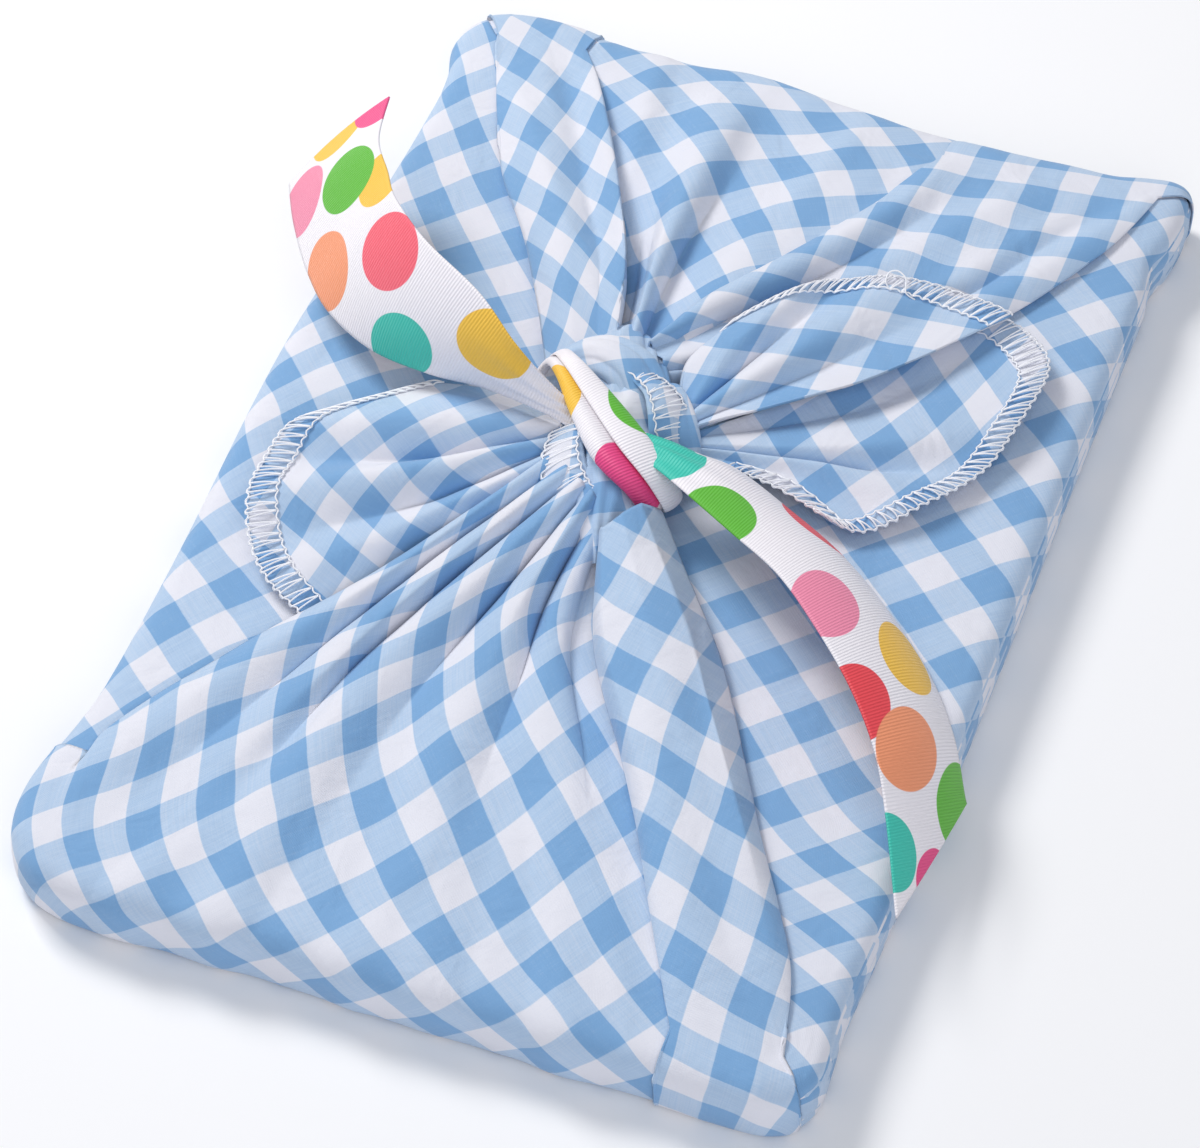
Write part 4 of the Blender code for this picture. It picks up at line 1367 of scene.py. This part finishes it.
@dataclass
class CornerTail:
    """A corner of the cloth that fans out of the knot."""

    name: str
    ribs: Sequence[Rib]
    checks: Sequence[Check]
    flat_size: Tuple[float, float]
    seed: float
    steps_across: int = 12
    steps_along: int = 60
    grid: Optional[np.ndarray] = None

    def surface(self) -> np.ndarray:
        """Work out the tail's shape.

        Returns:
            Its points, one row for each fine line from root to hem.
        """
        positions = np.linspace(0.0, 2.0, self.steps_along + 1)
        rows = np.array([catmull(np.array([rib.root, rib.middle, rib.hem], dtype=float), positions)
                         for rib in self.ribs])
        across = np.arange((len(self.ribs) - 1) * self.steps_across + 1) / self.steps_across
        smooth = catmull(rows, across)
        crisp = smooth.copy()
        for r, position in enumerate(across):
            a = min(int(position), len(self.ribs) - 2)
            t = position - a
            side, rise = across_weights(np.array(t), self.ribs[a].kind, self.ribs[a + 1].kind)
            crisp[r, :, :2] = rows[a, :, :2] * (1 - side) + rows[a + 1, :, :2] * side
            crisp[r, :, 2] = rows[a, :, 2] * (1 - rise) + rows[a + 1, :, 2] * rise
        crispness = np.clip(1.1 - np.linspace(0.0, 1.2, self.steps_along + 1), 0.0, 1.0)
        crispness = crispness[None, :, None]
        return smooth * (1 - crispness) + crisp * crispness

    def build(self, material: bpy.types.Material) -> bpy.types.Object:
        """Args:
            material: the cloth's finish.

        Returns:
            The piece.
        """
        grid = self.surface()
        flat = CheckChart(self.checks, 6.0).flat(chart_place(grid))
        for r in range(grid.shape[0]):
            for c in range(grid.shape[1]):
                x, y, z = grid[r, c]
                grid[r, c, 2] += 0.45 * smooth_noise(x * 0.09, y * 0.09, 0.0, self.seed)
        self.grid = grid
        item = make_sheet(self.name, grid, flat, material)
        finish_piece(item, "cloth")
        LOG.info("%s area %.5f", self.name, sheet_area(item))
        return item


@dataclass
class KnotBulge:
    """One turn of the cloth in the knot, pleated along its length."""

    name: str
    sections: Sequence[KnotSection]
    flat_size: Tuple[float, float]
    pleats: int
    pleat_depth: float
    turn: float
    seed: float
    sides: int = 72
    steps: int = 14

    def build(self, material: bpy.types.Material) -> bpy.types.Object:
        """Args:
            material: the cloth's finish.

        Returns:
            The piece.
        """
        middles = np.array([section[:3] for section in self.sections], dtype=float)
        sizes = np.array([section[3:] for section in self.sections], dtype=float)
        positions = np.arange((len(middles) - 1) * self.steps + 1) / self.steps
        line, size = catmull(middles, positions), catmull(sizes, positions)
        along = np.gradient(line, axis=0)
        along /= np.linalg.norm(along, axis=1, keepdims=True)
        sideways = np.cross(along, np.array([0.0, 0.0, 1.0]))
        sideways /= np.linalg.norm(sideways, axis=1, keepdims=True)
        upwards = np.cross(sideways, along)
        lengths = arc_lengths(line)
        grid, flat = [], []
        for k in range(len(line)):
            ring, cloth = [], []
            for side in range(self.sides + 1):
                angle = 2 * math.pi * side / self.sides
                lump = smooth_noise(math.cos(angle) * 1.6, math.sin(angle) * 1.6,
                                    lengths[k] * 0.03, self.seed)
                swept = angle + self.turn * lengths[k] / 30 + 0.5 * lump
                fold = abs(math.sin(self.pleats * swept / 2))
                scale = 1 + self.pleat_depth * (fold - 0.75) + 0.08 * lump
                offset = sideways[k] * (0.5 * size[k, 0] * math.cos(angle) * scale)
                offset = offset + upwards[k] * (0.5 * size[k, 1] * math.sin(angle) * scale)
                ring.append(line[k] + offset)
                place = ring[-1]
                cloth.append((place[0] * 0.9 + place[1] * 0.5 + self.turn * 20 + place[2] * 0.3,
                              place[1] * 0.9 - place[0] * 0.5 + place[2] * 0.6))
            grid.append(ring)
            flat.append(cloth)
        item = make_sheet(self.name, np.array(grid), np.array(flat), material, thickness=0.0)
        mesh = bmesh.new()
        mesh.from_mesh(item.data)
        bmesh.ops.remove_doubles(mesh, verts=mesh.verts, dist=1e-6)
        bmesh.ops.recalc_face_normals(mesh, faces=mesh.faces)
        mesh.to_mesh(item.data)
        mesh.free()
        finish_piece(item, "cloth")
        LOG.info("%s area %.5f", self.name, sheet_area(item))
        return item


@dataclass
class RibbonStretch:
    """A stretch of the ribbon, with the UV map in millimetres across and along it."""

    name: str
    sections: Sequence[RibbonSection]
    dots: Sequence[Dot]
    flat_size: Tuple[float, float]
    closed: bool = False
    slanting_end: bool = False
    profile: Sequence[Tuple[float, float]] = ()
    pleats: float = 3.0
    width: float = 38.0
    profile_width: float = 13.5
    steps: int = 16
    steps_across: int = 40

    def surface(self) -> Tuple[np.ndarray, np.ndarray]:
        """Work out the ribbon's shape.

        Returns:
            Its points and their flat coordinates in millimetres across and along it.
        """
        lows = np.array([s.low for s in self.sections], dtype=float)
        highs = np.array([s.high for s in self.sections], dtype=float)
        bows = np.array([(s.belly, s.pleat) for s in self.sections], dtype=float)
        stretches = len(lows) if self.closed else len(lows) - 1
        count = stretches * self.steps + (0 if self.closed else 1)
        positions = np.arange(count) / self.steps
        low, high = catmull(lows, positions, self.closed), catmull(highs, positions, self.closed)
        bow = catmull(bows, positions, self.closed)
        across = high - low
        across /= np.linalg.norm(across, axis=1, keepdims=True)
        middle = (low + high) / 2
        if self.closed:
            along = np.roll(middle, -1, axis=0) - np.roll(middle, 1, axis=0)
        else:
            along = np.gradient(middle, axis=0)
        outwards = np.cross(along, across)
        outwards /= np.linalg.norm(outwards, axis=1, keepdims=True)
        shares = np.linspace(0.0, 1.0, self.steps_across + 1)
        lengths = arc_lengths(middle)
        belly = 4 * shares * (1 - shares)
        pleat = np.sin((shares * self.pleats + 0.12) * 2 * math.pi)
        grid = (low[:, None, :] * (1 - shares[None, :, None])
                + high[:, None, :] * shares[None, :, None])
        bulge = bow[:, 0:1] * belly[None, :] + bow[:, 1:2] * pleat[None, :]
        grid = grid + outwards[:, None, :] * bulge[:, :, None]
        if self.profile:
            shape = catmull(np.array(self.profile),
                            np.linspace(0, len(self.profile) - 1, len(shares)))
            grid = low[:, None, :] + (high - low)[:, None, :] * shape[None, :, :1]
            depth = np.linalg.norm(high - low, axis=1) / self.profile_width
            grid = grid + outwards[:, None, :] * shape[None, :, 1:] * depth[:, None, None]
        widths = np.linalg.norm(np.diff(grid, axis=1), axis=2)
        walked = np.concatenate([np.zeros((len(grid), 1)), np.cumsum(widths, axis=1)], axis=1)
        spread = walked - walked[:, -1:] / 2 + self.width / 2
        rows = len(grid) + (1 if self.closed else 0)
        flat = np.zeros((rows, len(shares), 2))
        flat[:len(grid), :, 0] = spread
        flat[:len(grid), :, 1] = lengths[:, None]
        if self.slanting_end:
            cut = len(grid) - 1 - self.steps
            past_low = arc_lengths(low[cut:])
            past_high = arc_lengths(high[cut:])
            flat[cut:, :, 1] = lengths[cut] + (
                past_low[:, None] * (1 - shares[None, :]) + past_high[:, None] * shares[None, :])
        if self.closed:
            flat[-1, :, 0] = spread[0]
            flat[-1, :, 1] = lengths[-1] + float(np.linalg.norm(middle[0] - middle[-1]))
        return grid, flat

    def build(self) -> bpy.types.Object:
        """Returns:
            The piece.
        """
        grid, flat = self.surface()
        material = SpottedGrosgrain("grosgrain_" + self.name, tuple(self.dots)).make()
        item = make_sheet(self.name, grid, flat, material, thickness=0.5, closed=self.closed,
                          uv_name="ribbon")
        finish_piece(item, "ribbon")
        LOG.info("%s area %.5f", self.name, sheet_area(item))
        return item


@dataclass
class HemStrip:
    """A narrow overlocked hem that shows in the knot."""

    name: str
    lines: Sequence[StripLine]
    flat_size: Tuple[float, float]
    turn: float = 0.0
    swell: float = 1.4
    grid: Optional[np.ndarray] = None

    def build(self, material: bpy.types.Material) -> bpy.types.Object:
        """Args:
            material: the cloth's finish.

        Returns:
            The piece.
        """
        edges = np.array([line.edge for line in self.lines], dtype=float)
        inners = np.array([line.inner for line in self.lines], dtype=float)
        positions = np.linspace(0, len(edges) - 1, 60)
        edge, inner = catmull(edges, positions), catmull(inners, positions)
        shares = np.linspace(0.0, 1.0, 13)
        grid = (inner[:, None, :] * (1 - shares[None, :, None])
                + edge[:, None, :] * shares[None, :, None])
        grid[..., 2] += (self.swell * np.sin(shares * math.pi))[None, :]
        self.grid = grid
        flat = np.stack([grid[..., 0] + grid[..., 1] * self.turn,
                         grid[..., 1] - grid[..., 0] * self.turn], axis=-1)
        item = make_sheet(self.name, grid, flat, material)
        finish_piece(item, "cloth")
        LOG.info("%s area %.5f", self.name, sheet_area(item))
        return item


@dataclass
class Overlock:
    """Three-thread overlock sewing along a tail's hem: slanting loops, needle line and edge chain."""

    name: str
    edges: Sequence[np.ndarray]
    inners: Sequence[np.ndarray]
    loose: Sequence[Tuple[float, float, float]]
    pitch: float = 3.0
    thread: float = 0.24
    sides: int = 5
    seed: int = 5

    def tube(self, path: np.ndarray, verts: List[np.ndarray],
             faces: List[Tuple[int, ...]]) -> None:
        """Add a thin tube along a path.

        Args:
            path: the tube's middle line.
            verts: points, which are added to.
            faces: faces, which are added to.
        """
        along = np.gradient(path, axis=0)
        along /= np.maximum(np.linalg.norm(along, axis=1, keepdims=True), 1e-9)
        helper = np.array([0.03, 0.02, 1.0])
        sideways = np.cross(along, helper)
        sideways /= np.maximum(np.linalg.norm(sideways, axis=1, keepdims=True), 1e-9)
        upwards = np.cross(sideways, along)
        first = len(verts)
        for k in range(len(path)):
            for side in range(self.sides):
                angle = 2 * math.pi * side / self.sides
                spoke = sideways[k] * math.cos(angle) + upwards[k] * math.sin(angle)
                verts.append(path[k] + self.thread * spoke)
        for k in range(len(path) - 1):
            for side in range(self.sides):
                a = first + k * self.sides + side
                b = first + k * self.sides + (side + 1) % self.sides
                faces.append((a, a + self.sides, b + self.sides, b))
        faces.append(tuple(first + side for side in range(self.sides)))
        top = first + (len(path) - 1) * self.sides
        faces.append(tuple(reversed([top + side for side in range(self.sides)])))

    def build(self, material: bpy.types.Material) -> bpy.types.Object:
        """Build the sewing as one joined mesh.

        Args:
            material: the thread's finish.

        Returns:
            The piece.
        """
        rng = np.random.default_rng(self.seed)
        verts: List[np.ndarray] = []
        faces: List[Tuple[int, ...]] = []
        self.tube(catmull(np.array(self.loose), np.linspace(0, len(self.loose) - 1, 40)), verts, faces)
        for edge, inner in zip(self.edges, self.inners):
            lengths = arc_lengths(edge)
            count = max(int(lengths[-1] / self.pitch), 2)
            wanted = np.linspace(0, lengths[-1], count + 1)
            wanted[1:-1] += rng.uniform(-0.5, 0.5, count - 1)
            share = np.interp(wanted, lengths, np.linspace(0, 1, len(edge)))
            outer_points = catmull(edge, share * (len(edge) - 1))
            inner_points = catmull(inner, share * (len(inner) - 1))
            lift = np.array([0.0, 0.0, 0.45])
            for k in range(count):
                out = (outer_points[k] - inner_points[k])
                out = out / max(float(np.linalg.norm(out)), 1e-9)
                ahead = outer_points[k + 1] - outer_points[k]
                begin = inner_points[k] + lift
                rise = outer_points[k] + ahead * 0.25 + out * 0.4 + lift
                turn = outer_points[k] + ahead * 0.5 + out * 0.8 - lift * 0.5
                fall = outer_points[k] + ahead * 0.7 + out * 0.3 + lift
                finish = inner_points[k] + (inner_points[k + 1] - inner_points[k]) * 0.95 + lift
                bow = (begin + rise) / 2 + np.array([0, 0, 0.5])
                bow = bow + ahead * 0.08 * rng.uniform(-1, 1)
                back = (fall + finish) / 2 + [0, 0, 0.4]
                slant = np.array([begin, bow, rise, turn, fall, back, finish])
                self.tube(catmull(slant, np.linspace(0, 6, 25)), verts, faces)
                onward = (inner_points[k + 1] - inner_points[k]) * 0.5
                needle = np.array([
                    inner_points[k] - out * 0.5 + lift,
                    inner_points[k] + onward + lift * 1.5 + out * 0.25,
                    inner_points[k + 1] - out * 0.5 + lift])
                self.tube(catmull(needle, np.linspace(0, 2, 7)), verts, faces)
                chain = np.array([
                    outer_points[k] + lift * 0.8,
                    outer_points[k] + ahead * 0.5 + out * 0.7 + lift * 0.4,
                    outer_points[k + 1] + lift * 0.8])
                self.tube(catmull(chain, np.linspace(0, 2, 7)), verts, faces)
        item = make_mesh_object(self.name, np.array(verts), faces, material)
        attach(item, "root")
        LOG.info("made %s with %d faces", item.name, len(item.data.polygons))
        return item


@dataclass
class Studio:
    """The floor, the soft lights and the camera at the photograph's angle."""

    eye: Tuple[float, float, float] = CAMERA_EYE
    forward: Tuple[float, float, float] = CAMERA_FORWARD
    right: Tuple[float, float, float] = CAMERA_RIGHT
    upward: Tuple[float, float, float] = CAMERA_UPWARD
    lens: float = CAMERA_LENS
    floor_size: float = 6.0
    floor_drop: float = 0.0002
    room_strength: float = 0.4

    def add_camera(self) -> None:
        """Place the camera."""
        data = bpy.data.cameras.new("camera")
        data.lens = self.lens
        data.sensor_width = SENSOR_WIDTH
        data.clip_start, data.clip_end = 0.05, 20.0
        camera = bpy.data.objects.new("camera", data)
        bpy.context.scene.collection.objects.link(camera)
        right, up, forward = Vector(self.right), Vector(self.upward), Vector(self.forward)
        matrix = camera.matrix_world.copy()
        for row in range(3):
            matrix[row][0], matrix[row][1], matrix[row][2] = right[row], up[row], -forward[row]
            matrix[row][3] = self.eye[row]
        camera.matrix_world = matrix
        bpy.context.scene.camera = camera

    def add_floor(self) -> None:
        """Lay a wide pale floor."""
        bpy.ops.object.select_all(action="DESELECT")
        bpy.ops.mesh.primitive_plane_add(size=self.floor_size, location=(0, 0, -self.floor_drop))
        floor = bpy.context.active_object
        floor.name = "floor"
        floor.data.materials.append(PaleFloor().make())
        floor.select_set(False)

    def add_area(self, name: str, place: Tuple[float, float, float], size: float, power: float,
                 colour: str) -> None:
        """Add a square soft light aimed at the parcel.

        Args:
            name: the light's name.
            place: where it stands, in metres.
            size: its side in metres.
            power: its power in watts.
            colour: its colour as #RRGGBB.
        """
        data = bpy.data.lights.new(name, "AREA")
        data.size = size
        data.energy = power
        data.color = srgb(colour)[:3]
        lamp = bpy.data.objects.new(name, data)
        bpy.context.scene.collection.objects.link(lamp)
        lamp.location = place
        lamp.rotation_mode = "QUATERNION"
        lamp.rotation_quaternion = (Vector((0, 0, 0.02)) - Vector(place)).to_track_quat("-Z", "Y")

    def add_lights(self) -> None:
        """Light from the upper left, with a weak fill and an even room."""
        self.add_area("key", (-0.95, 0.5, 1.1), 0.5, 16.5, "#FFFDFA")
        self.add_area("fill", (0.7, -1.2, 1.3), 1.6, 12.5, "#F8FAFF")
        world = bpy.data.worlds.new("room")
        world.use_nodes = True
        background = world.node_tree.nodes["Background"]
        background.inputs["Color"].default_value = srgb("#F4F7FF")
        background.inputs["Strength"].default_value = self.room_strength
        bpy.context.scene.world = world
        bpy.context.scene.view_settings.view_transform = "Standard"

    def build(self) -> None:
        """Set up the studio."""
        self.add_camera()
        self.add_floor()
        self.add_lights()


@dataclass
class Furoshiki:
    """The wrap: cloth panels, knot, corner tails, sewing and ribbon.

    The whole numbers are grid steps that say where the hems lie on the tails and strips.
    """

    tail_hem: int = 8
    strip_hem: int = 2
    front_rib: int = 7
    front_hem: int = 9
    front_start: int = 14
    front_end: int = 3

    def build(self) -> None:
        """Build all of its pieces in order."""
        cotton = GinghamCotton().make()
        self.lay_layers(cotton)
        self.gather_folds(cotton)
        self.tie_knot(cotton)
        self.sew_hems(self.spread_tails(cotton))
        self.tie_ribbon()

    def lay_layers(self, cotton: bpy.types.Material) -> None:
        """Lay the underside and the two corners that are folded flat.

        Args:
            cotton: the cloth's finish.
        """
        BaseWrap().build(cotton)
        FlatLayer("left_layer", LEFT_LAYER_CHECKS, (-103, 156), (-104, -140), 2.0, (0.31, 0.093),
                  seed=2.0).build(cotton)
        FlatLayer("right_layer", RIGHT_LAYER_CHECKS, (101, -156), (103, 156), -4.0,
                  (0.32, 0.096), pleats=(4.5, 9.5, 14.0), seed=4.0).build(cotton)

    def gather_folds(self, cotton: bpy.types.Material) -> None:
        """Gather the faces of the two corners that are tied.

        Args:
            cotton: the cloth's finish.
        """
        FoldedPanel("near_face", NEAR_FACE_FOLDS, NEAR_FACE_CHECKS, NEAR_FACE_CREASES,
                    (0.15, 0.15), 7.0).build(cotton)
        FoldedPanel("near_band", NEAR_BAND_FOLDS, NEAR_BAND_CHECKS, NEAR_BAND_CREASES,
                    (0.18, 0.05), 8.0, proud=1.1).build(cotton)
        FoldedPanel("far_face", FAR_FACE_FOLDS, FAR_FACE_CHECKS, FAR_FACE_CREASES,
                    (0.13, 0.085), 9.0).build(cotton)
        FoldedPanel("far_right_face", FAR_RIGHT_FOLDS, FAR_RIGHT_CHECKS, FAR_RIGHT_CREASES,
                    (0.15, 0.057), 10.0, proud=0.8).build(cotton)
        FoldedPanel("far_band", FAR_BAND_FOLDS, FAR_BAND_CHECKS, FAR_BAND_CREASES,
                    (0.15, 0.043), 11.0, proud=1.1).build(cotton)

    def tie_knot(self, cotton: bpy.types.Material) -> None:
        """Tie the knot's four turns.

        Args:
            cotton: the cloth's finish.
        """
        KnotBulge("knot_core", KNOT_CORE, (0.06, 0.05), 9, 0.16, 0.4, 1.0).build(cotton)
        KnotBulge("knot_hump", KNOT_HUMP, (0.05, 0.032), 5, 0.2, 0.5, 2.0).build(cotton)
        KnotBulge("knot_collar", KNOT_COLLAR, (0.03, 0.026), 3, 0.2, 0.3, 3.0).build(cotton)
        KnotBulge("knot_patch", KNOT_PATCH, (0.027, 0.02), 3, 0.15, 0.3, 4.0).build(cotton)

    def spread_tails(self, cotton: bpy.types.Material) -> List[Tuple[np.ndarray, np.ndarray]]:
        """Spread the corner tails and lay the hems in the knot.

        Args:
            cotton: the cloth's finish.

        Returns:
            The edge and the inner line of each hem that is to be sewn.
        """
        left = CornerTail("left_tail", LEFT_TAIL_RIBS, LEFT_TAIL_CHECKS, (0.065, 0.06), 21.0)
        left.build(cotton)
        right = CornerTail("right_tail", RIGHT_TAIL_RIBS, RIGHT_TAIL_CHECKS, (0.06, 0.06), 22.0)
        right.build(cotton)
        under = CornerTail("right_tail_under", RIGHT_UNDER_RIBS, RIGHT_UNDER_CHECKS,
                           (0.065, 0.06), 23.0)
        under.build(cotton)
        knot_hem = HemStrip("knot_hem", KNOT_HEM_LINES, (0.01, 0.035), 0.6)
        knot_hem.build(cotton)
        patch_hem = HemStrip("patch_hem", PATCH_HEM_LINES, (0.01, 0.02), 0.3)
        patch_hem.build(cotton)
        hems = [(tail.grid[:, -1, :], tail.grid[:, -self.tail_hem, :]) for tail in (left, right, under)]
        hems += [(strip.grid[:, -1, :], strip.grid[:, self.strip_hem, :])
                 for strip in (knot_hem, patch_hem)]
        front = self.front_rib * under.steps_across
        inside = front - self.front_hem
        hems.append((under.grid[front, self.front_start:, :],
                     under.grid[inside, self.front_start:-self.front_end, :]))
        return hems

    def sew_hems(self, hems: Sequence[Tuple[np.ndarray, np.ndarray]]) -> None:
        """Sew the hems with overlock thread.

        Args:
            hems: the edge and the inner line of each hem.
        """
        thread = SewingThread().make()
        Overlock("overlock", [h[0] for h in hems], [h[1] for h in hems], LOOSE_THREAD).build(thread)

    def tie_ribbon(self) -> None:
        """Tie the ribbon round the knot."""
        RibbonStretch("ribbon_left", RIBBON_LEFT, LEFT_DOTS, (0.038, 0.13)).build()
        RibbonStretch("ribbon_right", RIBBON_RIGHT, RIGHT_DOTS, (0.038, 0.145),
                      slanting_end=True).build()
        RibbonStretch("ribbon_wrap", RIBBON_WRAP, WRAP_DOTS, (0.038, 0.11), closed=True,
                      profile=WRAP_PROFILE).build()


def main() -> None:
    """Build the studio and the wrap."""
    logging.basicConfig(level=logging.INFO, format="%(name)s: %(message)s")
    Studio().build()
    Furoshiki().build()


if __name__ == "__main__":
    main()
